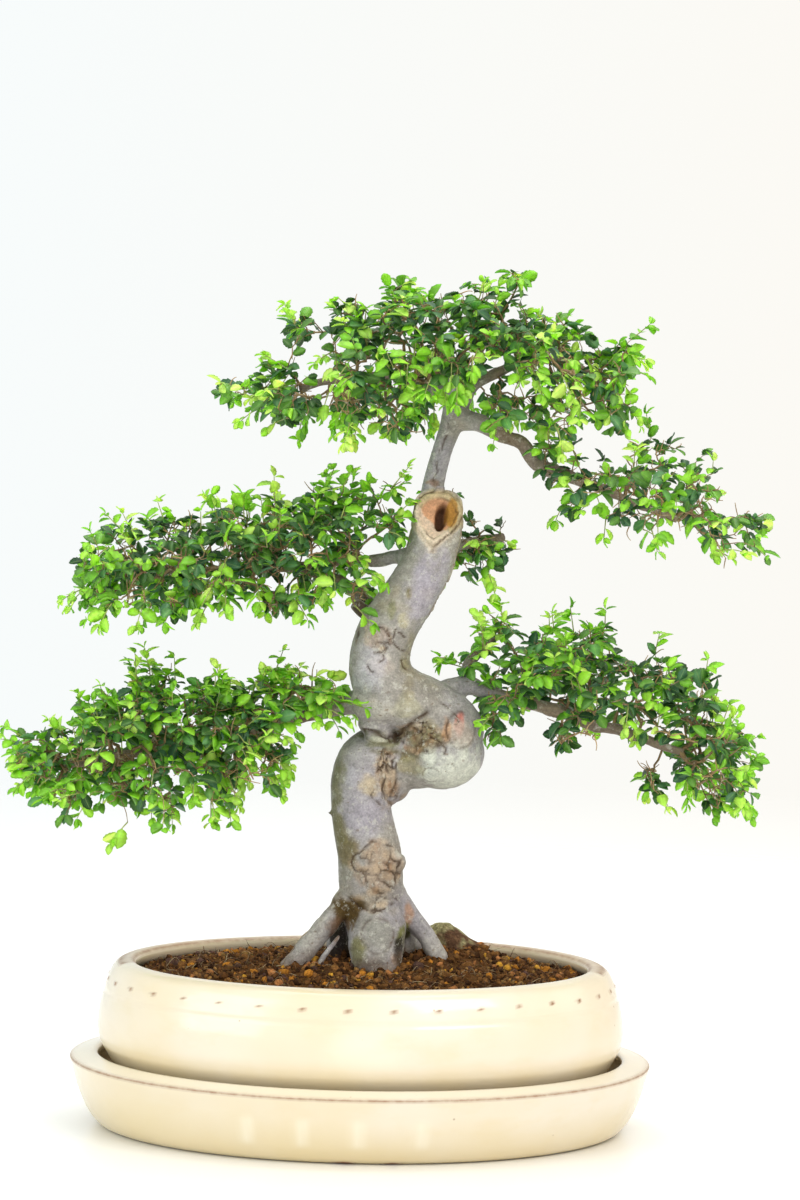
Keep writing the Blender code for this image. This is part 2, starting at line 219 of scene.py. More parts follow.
def addNode(tree, kind, inputs=(), **settings):  # an input is a number to set or a socket to link
    node = tree.nodes.new("ShaderNode" + kind)
    for key, value in settings.items():
        setattr(node, key, value)
    for key, value in dict(inputs).items():
        if isinstance(value, bpy.types.NodeSocket):
            tree.links.new(value, node.inputs[key])
        else:
            node.inputs[key].default_value = value
    return node


def place(tree):  # metres from the object's origin
    return addNode(tree, "TexCoord").outputs["Object"]


def attribute(tree, name):  # numbers or colours stored on the mesh's points
    return addNode(tree, "Attribute", attribute_name=name).outputs


def noise(tree, size, detail=3.0, stretch=(1, 1, 1), rough=0.55):  # size in metres
    moved = addNode(tree, "Mapping", {"Vector": place(tree), "Scale": stretch})
    return addNode(
        tree, "TexNoise",
        {"Vector": moved.outputs[0], "Scale": 1 / size, "Detail": detail, "Roughness": rough},
    ).outputs["Fac"]


def between(tree, value, low, high, outLow=0.0, outHigh=1.0):  # low..high becomes outLow..outHigh, clamped
    return addNode(
        tree, "MapRange",
        {"Value": value, "From Min": low, "From Max": high, "To Min": outLow, "To Max": outHigh},
    ).outputs["Result"]


def maths(tree, operation, a, b=0.0):  # one sum of two values
    return addNode(tree, "Math", {0: a, 1: b}, operation=operation).outputs[0]


def blend(tree, factor, a, b, how="MIX"):  # a + (b - a) * factor
    node = addNode(tree, "Mix", data_type="RGBA", blend_type=how)
    for index, value in ((0, factor), (6, a), (7, b)):
        if isinstance(value, bpy.types.NodeSocket):
            tree.links.new(value, node.inputs[index])
        elif index == 0:
            node.inputs[0].default_value = value
        else:
            node.inputs[index].default_value = (*value, 1)
    return node.outputs[2]


def shaded(tree, colour, factor):  # a colour times a number
    grey = addNode(tree, "CombineColor", {0: factor, 1: factor, 2: factor}).outputs[0]
    return blend(tree, 1.0, colour, grey, "MULTIPLY")


def nearestDot(tree, scale):  # distance to the nearest of scattered dots, in dot spacings
    return addNode(tree, "TexVoronoi", {"Vector": place(tree), "Scale": scale}).outputs["Distance"]


def bump(tree, shader, height, depth, strength=1.0):  # depth in metres
    node = addNode(tree, "Bump", {"Height": height, "Distance": depth, "Strength": strength})
    tree.links.new(node.outputs[0], shader.inputs["Normal"])


studio = {
    "camera": (0.0216, -2.93, 0.590),
    "aim": (0.0216, 0.0, 0.3734),
    "lens": 125.5,
    "roll": 1.2,  # degrees; the right side sits a little lower
    "coolSide": (0.93, 0.975, 0.985),
    "warmSide": (0.98, 0.95, 0.89),
    "tintReach": 0.14,
    "worldStrength": 1.0,
    "floor": (0.93, 0.93, 0.92),
    "floorReach": 2.2,  # metres; it fades into the white room from fadeFrom outwards
    "fadeFrom": 0.75,
    "lampAim": (0, 0, 0.3),
    "lamps": (  # name, place, size, power, colour
        ("key", (1.3, -1.7, 2.0), 1.4, 30, (1.0, 0.985, 0.95)),
        ("fill", (-1.9, -1.5, 1.2), 1.5, 17, (0.91, 0.98, 1.0)),
        ("top", (0.1, 0.6, 2.3), 1.6, 24, (1.0, 1.0, 0.98)),
    ),
}


def facing(spot, aim):  # the turn that points an object's -z from spot to aim
    return (Vector(aim) - Vector(spot)).to_track_quat("-Z", "Y")


def buildStudio():  # camera, white room, floor that fades into it, and three soft lamps
    data = bpy.data.cameras.new("camera")
    data.sensor_fit = "VERTICAL"
    data.sensor_height = 36
    data.lens = studio["lens"]
    camera = bpy.data.objects.new("camera", data)
    scene.collection.objects.link(camera)
    spot = Vector(studio["camera"])
    turn = facing(spot, studio["aim"]).to_matrix().to_4x4()
    roll = Matrix.Rotation(math.radians(studio["roll"]), 4, "Z")
    camera.matrix_world = Matrix.Translation(spot) @ turn @ roll
    scene.camera = camera

    world = bpy.data.worlds.new("white room")
    world.use_nodes = True
    sky = world.node_tree.nodes["Background"]
    direction = addNode(world.node_tree, "TexCoord").outputs["Generated"]
    sideways = addNode(world.node_tree, "SeparateXYZ", {0: direction}).outputs["X"]
    across = between(world.node_tree, sideways, -studio["tintReach"], studio["tintReach"])
    tint = blend(world.node_tree, across, studio["coolSide"], studio["warmSide"])
    world.node_tree.links.new(tint, sky.inputs["Color"])
    sky.inputs["Strength"].default_value = studio["worldStrength"]
    scene.world = world
    scene.view_settings.view_transform = "Standard"

    reach = studio["floorReach"]
    corners = np.array([(-reach, -reach, 0), (reach, -reach, 0), (reach, reach, 0), (-reach, reach, 0)])
    mesh = meshFrom("floor", corners, [np.array([[0, 1, 2, 3]])], smooth=False)
    floor = bpy.data.objects.new("floor", mesh)
    scene.collection.objects.link(floor)
    material, tree, shader = startMaterial(
        "white acrylic floor", Base_Color=(*studio["floor"], 1), Roughness=0.22, Specular_IOR_Level=0.35
    )
    away = addNode(tree, "VectorMath", {0: place(tree)}, operation="LENGTH").outputs["Value"]
    tree.links.new(between(tree, away, studio["fadeFrom"], reach * 0.95, 1, 0), shader.inputs["Alpha"])
    mesh.materials.append(material)

    for name, spot, size, power, colour in studio["lamps"]:
        lamp = bpy.data.lights.new(name, "AREA")
        lamp.energy, lamp.size, lamp.color = power, size, colour
        light = bpy.data.objects.new(name, lamp)
        scene.collection.objects.link(light)
        light.location = spot
        light.rotation_euler = facing(spot, studio["lampAim"]).to_euler()
    print("studio ready")


ovals = {
    "lengthOverWidth": 46 * mm,
    "wallFrom": 150 * mm,
    "around": 288,
}


def halfWidth(halfLength):  # walls stay equally thick all round; floors shrink in proportion
    gap, start = ovals["lengthOverWidth"], ovals["wallFrom"]
    return np.where(halfLength >= start, halfLength - gap, halfLength * (start - gap) / start)


def ovalWall(profile, steps, wobble, seed):  # a rounded (half-length, height) profile carried round an oval
    line = smoothPath([(a * mm, 0, z * mm, 0) for a, z in profile], steps)
    a, z = line[:, 0], line[:, 2]
    angle = np.arange(ovals["around"]) * tau / ovals["around"]
    z = np.broadcast_to(z[:, None], (steps, len(angle)))
    grid = np.stack([a[:, None] * np.cos(angle), halfWidth(a)[:, None] * np.sin(angle), z], -1)
    points = grid.reshape(-1, 3)
    outward = unit(np.stack([points[:, 0], points[:, 1], 0 * points[:, 0]], 1))
    points = points + outward * (wobble * softNoise(points, 0.09, seed))[:, None]
    quads = gridQuads(steps - 1, len(angle))[:, [0, 3, 2, 1]]
    caps = [np.arange(len(angle))[::-1][None], (steps - 1) * len(angle) + np.arange(len(angle))[None]]
    along = np.repeat(np.linspace(0, 1, steps), len(angle))
    return points, [quads, *caps], along, np.tile(angle, steps)


glazeColours = {
    "thinCream": (0.765, 0.645, 0.45),
    "thickCream": (0.79, 0.705, 0.58),
    "warm": (0.755, 0.625, 0.405),
    "foot": (0.70, 0.56, 0.285),
    "pale": (0.86, 0.79, 0.64),
    "worn": (0.27, 0.13, 0.055),
    "speck": (0.30, 0.17, 0.08),
}


def glaze(name, darkFoot):  # cream glaze, thin and brown over sharp edges, with fine specks and soft pooling
    material, tree, shader = startMaterial(
        name, Roughness=0.2, Specular_IOR_Level=0.5, Coat_Weight=0.3, Coat_Roughness=0.08
    )
    pooled = between(tree, noise(tree, 0.11, 2), 0.35, 0.7)
    colour = blend(tree, pooled, glazeColours["thinCream"], glazeColours["thickCream"])
    warm = between(tree, noise(tree, 0.03, 4, (1, 1, 2.2)), 0.5, 0.8, 0, 0.5)
    colour = blend(tree, warm, colour, glazeColours["warm"])
    height = addNode(tree, "SeparateXYZ", {0: place(tree)}).outputs["Z"]
    uneven = between(tree, noise(tree, 0.05, 3), 0, 1, -0.012, 0.012)
    lower = between(tree, maths(tree, "ADD", height, uneven), *darkFoot, 0.9, 0)
    colour = blend(tree, lower, colour, glazeColours["foot"])
    # on the tray, "pale" also holds painted reflection streaks
    pale = attribute(tree, "pale")["Fac"]
    colour = blend(tree, maths(tree, "MULTIPLY", pale, 0.6), colour, glazeColours["pale"])
    thin = attribute(tree, "thin")["Fac"]
    broken = between(tree, noise(tree, 0.006, 4), 0.3, 0.65, 0.7, 1.15)
    worn = maths(tree, "MINIMUM", maths(tree, "MULTIPLY", thin, broken), 1.0)
    colour = blend(tree, worn, colour, glazeColours["worn"])
    rare = between(tree, noise(tree, 0.012, 1), 0.62, 0.66)
    dot = maths(tree, "MULTIPLY", between(tree, nearestDot(tree, 95.0), 0.10, 0.05), rare)
    colour = blend(tree, maths(tree, "MULTIPLY", dot, 0.55), colour, glazeColours["speck"])
    tree.links.new(colour, shader.inputs["Base Color"])
    tree.links.new(between(tree, thin, 0.1, 0.9, 0.17, 0.6), shader.inputs["Roughness"])
    bump(tree, shader, noise(tree, 0.016, 4), 0.35 * mm, 0.35)
    return material


pot = {
    "foot": 159 * mm,
    "footWidth": 10 * mm,
    "notch": 35 * mm,  # half the gap between two feet
    "footBottom": 9.3 * mm,
    "underside": 16.5 * mm,
    "floor": 24.5 * mm,
    "belly": 186 * mm,
    "bellyHeight": 70 * mm,
    "height": 116.7 * mm,
    "mouth": 159 * mm,
    "steps": 190,
    "studs": 36,
    "firstStud": 7.0,  # degrees
    "studHeight": 104.3 * mm,
    "studRadius": 2.1 * mm,
    "studStands": 0.9 * mm,
    "ridgeHeight": 95.0 * mm,
    "ridgeDepth": 0.5 * mm,
}


def buildPot():  # the profile carried round, with half-ball studs, a bell-curve groove and gaps between feet
    p = pot
    foot, under, low, top = (p[part] / mm for part in ("foot", "underside", "footBottom", "height"))
    inFoot, mouth, floor = foot - p["footWidth"] / mm, p["mouth"] / mm, p["floor"] / mm
    profile = [  # mm
        (inFoot - 2, under), (inFoot, under - 0.6), (inFoot + 1, low + 0.6), (foot - 5, low),
        (foot - 1, low + 0.6), (foot + 0.4, under), (164.5, 24.5), (171, 36.5), (179, 50.5), (184, 60),
        (p["belly"] / mm - 0.2, p["bellyHeight"] / mm), (184.7, 83), (182, 94.5), (180.2, 100.5),
        (177.6, 107.5), (174.8, 112.3), (170.6, 115.4), (mouth + 5.5, top - 0.2), (mouth + 2, top - 1.3),
        (mouth + 0.2, top - 4.2), (161.5, 107.5), (169.3, 101.5), (174.6, 91), (177.7, 70), (171.3, 50),
        (162.5, 34), (152, floor + 0.4), (148, floor),
    ]
    points, faces, along, angle = ovalWall(profile, p["steps"], 0.5 * mm, 3)
    outward = unit(np.stack([np.cos(angle), np.sin(angle), 0 * angle + 0.35], 1))
    outside = (along > 0.15) & (along < 0.62)
    turn = np.radians(p["firstStud"]) + np.arange(p["studs"]) * tau / p["studs"]
    middle = 179.0 * mm
    studs = [middle * np.cos(turn), halfWidth(middle) * np.sin(turn), 0 * turn + p["studHeight"]]
    studs = np.stack(studs, 1)
    studs[:, 2] += 0.5 * mm * np.sin(5 * turn)
    apart = np.min(np.linalg.norm(points[:, None] - studs[None], axis=2), axis=1)
    button = np.sqrt(np.clip(1 - (apart / p["studRadius"]) ** 2, 0, 1)) * outside
    ridge = np.exp(-(((points[:, 2] - p["ridgeHeight"]) / (1.6 * mm)) ** 2)) * outside
    points = points + outward * (p["studStands"] * button - p["ridgeDepth"] * ridge)[:, None]
    notch = (np.abs(points[:, 0]) < p["notch"]) | (np.abs(points[:, 1]) < p["notch"])
    points[:, 2] = np.where(notch, np.maximum(points[:, 2], p["underside"] - 0.4 * mm), points[:, 2])
    mesh = meshFrom("potShell", points, faces)
    lip = (points[:, 2] - p["height"] + 1.2 * mm) / (1.3 * mm)
    inner = (along > 0.5) & (along < 0.72)
    thin = np.exp(-(lip**2)) * inner * (np.sin(angle) > -0.2) * 0.8
    thin = np.maximum(thin, stepUp(0.2, 0.7, button))
    thin = np.maximum(thin, 0.9 * (points[:, 2] < p["footBottom"] + 1.5 * mm))
    addNumbers(mesh, "thin", thin)
    cloud = stepUp(-0.1, 0.7, roughNoise(points * (1, 1, 2.0), 70 * mm, 2, 44))
    addNumbers(mesh, "pale", cloud * outside * stepUp(50 * mm, 85 * mm, points[:, 2]))
    addPiece(mesh, glaze("pot glaze", (28 * mm, 70 * mm)), "glaze", "pot")
    print("pot ready")


def finishDrainScreens():  # black moulded mesh: a fine weave of bars, as waves across x and y
    material, tree, shader = startMaterial("screen plastic", Roughness=0.55, Specular_IOR_Level=0.4)
    bars, rows = (
        addNode(tree, "TexWave", {"Vector": place(tree), "Scale": 95.0}, bands_direction=axis).outputs["Fac"]
        for axis in "XY"
    )
    weave = maths(tree, "MAXIMUM", bars, rows)
    worn = maths(tree, "MULTIPLY", weave, noise(tree, 0.004, 3))
    colour = blend(tree, worn, (0.006, 0.006, 0.006), (0.045, 0.043, 0.04))
    tree.links.new(colour, shader.inputs["Base Color"])
    bump(tree, shader, weave, 0.5 * mm, 0.8)
    for name in ("drain_screen_left", "drain_screen_right"):
        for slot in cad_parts[name].material_slots:
            slot.material = material
    print("drain screens ready")


tray = {
    "reflectionStreaks": (-74 * mm, -37 * mm, 1 * mm, 44 * mm),  # painted reflections: paler streaks down the front
    "reflectionStreakWidth": 4.5 * mm,
    "chips": ((-1.62, 5 * mm), (-1.44, 3.5 * mm)),  # angle and size of bare spots at the foot
    "edgeHeight": 47.9 * mm,
    "base": 179 * mm,
    "rim": 205 * mm,
    "inner": 185 * mm,
    "height": 51.5 * mm,
    "floor": 9 * mm,
    "wall": 9 * mm,
    "steps": 130,
}


def buildTray():  # the profile carried round; "thin" marks its worn edge and "pale" its painted reflection streaks and its paler top
    t = tray
    base, rim, inner, top, floor = (t[part] / mm for part in ("base", "rim", "inner", "height", "floor"))
    inBase, inRim = base - t["wall"] / mm, rim - t["wall"] / mm
    profile = [  # mm
        (base - 6, 0), (base - 1, 0.05), (base + 3, 0.8), (base + 8, 4.2), (base + 14, 12.5),
        (base + 19.5, 25), (rim - 2.6, 38), (rim - 0.4, 45.8), (rim - 0.2, 47.5), (rim - 1.6, 48.8),
        (rim - 9, 50.2),
        (inner + 4, top - 0.1), (inner + 1, top - 0.6), (inner, top - 2.6), (inner + 1.2, top - 6),
        (inRim - 2.5, 40), (inBase + 20, 28), (inBase + 13, 16), (inBase + 3, floor + 0.4),
        (inBase - 4, floor),
    ]
    points, faces, along, angle = ovalWall(profile, t["steps"], 0.5 * mm, 8)
    mesh = meshFrom("trayShell", points, faces)
    outerEdge = np.exp(-(((points[:, 2] - t["edgeHeight"]) / (0.9 * mm)) ** 2))
    outerEdge = outerEdge * (np.abs(along - 0.42) < 0.12)
    chip = np.zeros(len(points))
    for where, size in t["chips"]:
        east, north = (t["base"] + 3 * mm) * math.cos(where), (t["base"] - 43 * mm) * math.sin(where)
        at = np.array([east, north, 1 * mm])
        away = np.linalg.norm((points - at) * (0.5, 1, 1.6), axis=1) / size
        chip = np.maximum(chip, 1 - stepUp(0.5, 1.0, away))
    thin = np.maximum(outerEdge * 0.85, chip)
    addNumbers(mesh, "thin", thin)
    reflectionStreaks = np.zeros(len(points))
    # painted reflections: soft paler streaks on the front of the tray
    for across in t["reflectionStreaks"]:
        reflectionStreaks = np.maximum(reflectionStreaks, np.exp(-(((points[:, 0] - across) / t["reflectionStreakWidth"]) ** 2)))
    height = points[:, 2]
    reflectionStreaks *= (points[:, 1] < 0) * stepUp(10 * mm, 17 * mm, height) * stepUp(37 * mm, 29 * mm, height)
    addNumbers(mesh, "pale", reflectionStreaks + stepUp(46 * mm, 50 * mm, points[:, 2]))
    addPiece(mesh, glaze("tray glaze", (-8 * mm, 34 * mm)), "glaze", "drip_tray")
    print("tray ready")


soil = {
    "edge": 159.4 * mm,
    "edgeHeight": 107.0 * mm,
    "topHeight": 118.5 * mm,
    "rings": 110,
    "around": 280,
    "grains": 5300,
    "largeGrains": 0.022,
    "fibres": 620,
    "darkEarth": (0.034, 0.014, 0.005),
    "paleEarth": (0.155, 0.068, 0.018),
    "seed": 5,
}
stone = {"centre": (62 * mm, 34 * mm, 123 * mm), "radii": (23 * mm, 16 * mm, 19.5 * mm)}


def soilHeight(x, y):  # a low mound, a hump round the stone, and small lumps
    out = np.sqrt((x / soil["edge"]) ** 2 + (y / halfWidth(soil["edge"])) ** 2)
    z = soil["edgeHeight"] + (soil["topHeight"] - soil["edgeHeight"]) * (1 - np.clip(out, 0, 1) ** 1.7)
    hump = np.exp(-(((x - 78 * mm) / (27 * mm)) ** 2) - ((y - 32 * mm) / (22 * mm)) ** 2)
    z = z + 13.5 * mm * hump * (1 - out**3)
    z = z + 5.5 * mm * np.exp(-(((x - 55 * mm) / (20 * mm)) ** 2) - ((y - 4 * mm) / (20 * mm)) ** 2)
    flat = np.stack([x, y, 0 * x], 1)
    lumps = 1.8 * mm * roughNoise(flat, 21 * mm, 3, 40) + 1.7 * mm * roughNoise(flat, 6 * mm, 3, 41)
    return z + lumps * (1 - 0.7 * np.clip(out, 0, 1) ** 6)


def pebble(rings=4, around=6):  # a ball of a few dozen faces, as a unit shape
    lat = np.linspace(0, math.pi, rings + 1)[1:-1]
    lon = np.arange(around) * tau / around
    ring = [np.outer(np.sin(lat), np.cos(lon)), np.outer(np.sin(lat), np.sin(lon))]
    body = np.stack([*ring, np.outer(np.cos(lat), np.ones(around))], -1).reshape(-1, 3)
    verts = np.vstack([body, [[0, 0, 1]], [[0, 0, -1]]])
    quads = gridQuads(rings - 2, around)
    j = np.arange(around)
    north = np.stack([np.full(around, len(body)), j, (j + 1) % around], 1)
    last = (rings - 2) * around
    south = np.stack([np.full(around, len(body) + 1), last + (j + 1) % around, last + j], 1)
    return verts, quads, np.vstack([north, south])


def scattered(template, places, axes):  # a copy of the template at each place, along three axes of its own
    verts, *groups = template
    made = np.einsum("vk,nkj->nvj", verts, axes) + places[:, None]
    shift = (np.arange(len(places)) * len(verts))[:, None, None]
    return made.reshape(-1, 3), [(group + shift).reshape(-1, group.shape[1]) for group in groups]


def randomTurns(rng, number):  # evenly spread rotations, from unit quaternions
    w, x, y, z = unit(rng.normal(size=(number, 4))).T
    return np.stack([
        np.stack([1 - 2 * (y * y + z * z), 2 * (x * y - z * w), 2 * (x * z + y * w)], -1),
        np.stack([2 * (x * y + z * w), 1 - 2 * (x * x + z * z), 2 * (y * z - x * w)], -1),
        np.stack([2 * (x * z - y * w), 2 * (y * z + x * w), 1 - 2 * (x * x + y * y)], -1),
    ], 1)


def earthMaterial():  # crumbly: fine noise less the distance to scattered dots
    material, tree, shader = startMaterial("moist soil", Roughness=0.9, Specular_IOR_Level=0.1)
    colour = attribute(tree, "earth")["Color"]
    fine = between(tree, noise(tree, 0.0016, 4), 0.3, 0.72, 0.55, 1.45)
    tree.links.new(shaded(tree, colour, fine), shader.inputs["Base Color"])
    crumbs = maths(tree, "MULTIPLY", nearestDot(tree, 420.0), 0.8)
    height = maths(tree, "SUBTRACT", noise(tree, 0.0022, 4), crumbs)
    bump(tree, shader, height, 1.1 * mm, 1.0)
    return material


def spotsInPot(rng, number, share):  # even over the soil: the root of a random share, at a random angle
    reach = np.sqrt(rng.uniform(0, share, number))
    turn = rng.uniform(0, tau, number)
    return reach * np.cos(turn) * soil["edge"], reach * np.sin(turn) * halfWidth(soil["edge"])


def buildSoil():  # rings of the height function, then loose grains, then fibres bent by half a sine wave
    s = soil
    rng = np.random.default_rng(s["seed"])
    out = np.sqrt(np.linspace(0.004, 1, s["rings"]))
    angle = np.arange(s["around"]) * tau / s["around"]
    x = (np.outer(out, np.cos(angle)) * s["edge"]).ravel()
    y = (np.outer(out, np.sin(angle)) * halfWidth(s["edge"])).ravel()
    top = np.stack([x, y, soilHeight(x, y)], 1)
    under = top[-s["around"]:] * (0.985, 0.985, 1) - (0, 0, 30 * mm)
    points = np.vstack([top, under])
    quads = gridQuads(s["rings"], s["around"])
    first = np.arange(s["around"])[None]
    last = (s["rings"] * s["around"] + np.arange(s["around"]))[::-1][None]
    mesh = meshFrom("soilBody", points, [quads, first, last])
    shade = 0.5 + 0.5 * roughNoise(points, 9 * mm, 3, 11)[:, None]
    addNumbers(mesh, "earth", (1 - shade) * np.array([s["darkEarth"]]) + shade * np.array([s["paleEarth"]]))
    earth = earthMaterial()
    addPiece(mesh, earth, "soil", "soil")

    number = s["grains"]
    x, y = spotsInPot(rng, number, 0.965)
    size = np.clip(rng.gamma(2.4, 0.40, number) * mm + 0.45 * mm, 0.6 * mm, 3.8 * mm)
    large = rng.uniform(size=number) < s["largeGrains"]
    size = np.where(large, rng.uniform(2.4, 3.9, number) * mm, size)
    places = np.stack([x, y, soilHeight(x, y) + size * rng.uniform(-0.3, 0.5, number)], 1)
    shape = size[:, None] * rng.uniform(0.5, 1.25, (number, 3))
    template = pebble(4, 6)
    verts, faces = scattered(template, places, randomTurns(rng, number) * shape[:, :, None])
    verts = verts + 1.0 * mm * np.stack([softNoise(verts, 1.5 * mm, k) for k in range(3)], 1)
    kinds = np.array([
        (0.046, 0.019, 0.007), (0.115, 0.048, 0.015), (0.19, 0.086, 0.026), (0.40, 0.16, 0.022),
        (0.46, 0.23, 0.03), (0.36, 0.15, 0.05), (0.085, 0.045, 0.034), (0.26, 0.14, 0.045),
    ])
    pick = rng.choice(len(kinds), number, p=(0.25, 0.33, 0.28, 0.02, 0.01, 0.02, 0.04, 0.05))
    pick = np.where(large, rng.choice((2, 3, 4, 5, 6), number, p=(0.2, 0.3, 0.15, 0.2, 0.15)), pick)
    colour = kinds[pick] * rng.uniform(0.75, 1.25, (number, 1))
    mesh = meshFrom("soilGrains", verts, faces)
    addNumbers(mesh, "earth", np.repeat(colour, len(template[0]), axis=0))
    addPiece(mesh, earth, "soil")

    number = s["fibres"]
    x, y = spotsInPot(rng, number, 0.95)
    start = np.stack([x, y, soilHeight(x, y) + 0.5 * mm], 1)
    heading = rng.normal(size=(number, 3)) * (1, 1, 0.22)
    heading = unit(heading) * rng.uniform(5, 15, (number, 1)) * mm
    t = np.linspace(0, 1, 6)[None, :, None]
    bend = rng.normal(size=(number, 1, 3)) * 2.2 * mm
    bow = np.sin(t * math.pi)
    route = start[:, None] + heading[:, None] * t + bend * bow + np.array([0, 0, 1.6 * mm]) * bow
    thick = rng.uniform(0.14, 0.34, (number, 1, 1)) * mm * (1.15 - t)
    verts, faces = tubes(np.concatenate([route, thick], 2), 4)
    mesh = meshFrom("soilFibres", verts, faces)
    shades = np.array([(0.20, 0.12, 0.06), (0.36, 0.26, 0.15), (0.10, 0.05, 0.03)])
    shades = shades[rng.integers(0, 3, number)]
    addNumbers(mesh, "earth", np.repeat(shades, len(verts) // number, axis=0))
    addPiece(mesh, earth, "soil")
    print("soil ready")


def buildStone():  # a ball pushed out by two noises and sloped down to the right
    verts, quads, tris = pebble(64, 110)
    bumpy = 1 + 0.11 * roughNoise(verts, 0.9, 3, 60) + 0.05 * roughNoise(verts, 0.25, 2, 61)
    shaped = verts * bumpy[:, None]
    shaped[:, 2] *= 1 - 0.62 * stepUp(-0.35, 1.0, shaped[:, 0])
    points = np.array(stone["centre"]) + shaped * np.array(stone["radii"])
    mesh = meshFrom("mossyStone", points, [quads, tris])
    upward = 1.1 * verts[:, 2] - 0.5 - 0.9 * verts[:, 0]
    moss = stepUp(-0.15, 0.35, roughNoise(points, 9 * mm, 3, 62) + upward)[:, None]
    grain = (0.5 + 0.5 * roughNoise(points, 4 * mm, 3, 63))[:, None]
    bare = (1 - grain) * np.array([[0.055, 0.026, 0.016]]) + grain * np.array([[0.17, 0.092, 0.048]])
    green = (1 - grain) * np.array([[0.12, 0.105, 0.035]]) + grain * np.array([[0.48, 0.43, 0.24]])
    addNumbers(mesh, "earth", bare * (1 - moss) + green * moss)
    addPiece(mesh, earthMaterial(), "stone", "mossy_stone")
    print("stone ready")


wood = {
    "lumps": 0.9 * mm,  # how far the bark's swells, ripples and fine grain stand
    "ripples": 0.28 * mm,
    "grain": 0.14 * mm,
    "flakeSize": 10 * mm,
    "seamDepth": 0.75 * mm,
    "crumbDepth": 1.7 * mm,
    "creaseDepth": 2.2 * mm,
    "crackDepth": 0.9 * mm,
    "dotHeight": 0.28 * mm,
    "dotSpacing": 5.2 * mm,
    "darkGrey": (134, 127, 116),  # screen colours of the bark, from its plain greys to its marks
    "paleGrey": (192, 187, 180),
    "coolGrey": (172, 167, 180),
    "warmGrey": (170, 154, 122),
    "olive": (118, 110, 66),
    "underFlakes": (198, 170, 136),
    "rust": (146, 104, 66),
    # the next colour paints the cracks, and painted shade in creases and crumbled crevices
    "crackBrownAndShade": (70, 50, 32),
    "lipTan": (202, 182, 142),  # and of the bare wood in the cut
    "salmonWood": (198, 148, 112),
    "paleWood": (220, 202, 182),
    "amberWood": (166, 116, 30),
    # the next colour is painted shadow in the hollow of the cut
    "hollowShadow": (66, 34, 8),
    "lipOutline": (78, 56, 30),
    "voxel": 1.15 * mm,
    "relax": 5,
    "limbWobble": 0.30,
    "shredded": (15.5, 248, 9.5, 24),  # ovals of torn and of crumbling bark, as in plates below
    "crumbling": (40, 279, 21, 11),
    "cutSpot": (46.5, -19.5, 411.0),  # mm; the lowest point of the slanting cut at the top
    "cutFacing": (0.10, -0.90, 0.43),
}
# paths of (x, y, z, radius) in mm, from the foot up or from the trunk out
trunkPath = np.array([
    (11, 4, 96, 17.5), (10, 4, 116, 17.5), (8, 2, 143, 20.5),
    (5.6, 1, 169, 22.8), (3.7, 3, 193, 22.8), (-2.6, 5, 223, 21.2),
    (-2.4, 6, 249, 21.5), (7, 6, 262, 21), (27, 3, 264, 21),
    (47, -1, 269, 25.5), (58, -4, 283, 24.5), (44, -6, 298, 21),
    (26.5, -7, 304.5, 22.2), (13, -7, 314, 22.8), (8.5, -7, 332, 21.7),
    (13.6, -7, 352.5, 20.6), (26.5, -6, 374.5, 19), (38, -5, 395, 18),
    (44.5, -4, 416, 17.5), (47, -4, 436, 17.4), (46.8, -4, 443.5, 16.6),
    (46.3, -3, 448.8, 13.6), (46, -2, 451.8, 8),
]) * mm
rootPaths = [
    [(0, -2, 176, 10), (-11, -5, 161, 8.5), (-23, -8, 147, 7.8),
     (-36, -11, 131, 7.4), (-47, -13, 116, 7.2), (-66, -14, 98, 6)],
    [(14, 0, 174, 10), (26, 1, 161, 7.8), (37, 1, 145, 7.6),
     (49, 1, 129, 7.2), (62, -3, 108, 6.5)],
    [(8, -4, 158, 17), (11, -12, 138, 18.5), (12, -20, 116, 16),
     (14, -44, 94, 7)],
    [(4, 8, 156, 13), (-2, 22, 134, 11), (-6, 34, 114, 9),
     (-10, 56, 92, 5)],
    [(-16, -14, 137, 1.2), (-21, -17, 130, 1.9), (-28, -19, 120, 2.2),
     (-33, -21, 110, 1.8)],
    [(16, 12, 160, 11), (28, 22, 138, 9), (40, 30, 116, 7),
     (55, 40, 98, 5)],
]
leaderPath = np.array([
    (40, 4, 426, 9.5), (42, 8, 443, 8.5), (44.5, 9, 460, 7.7),
    (49.5, 9, 480, 7.4), (56, 8, 502.6, 7.8), (54.5, 5, 528, 4.5),
    (50, 2, 556, 3),
]) * mm
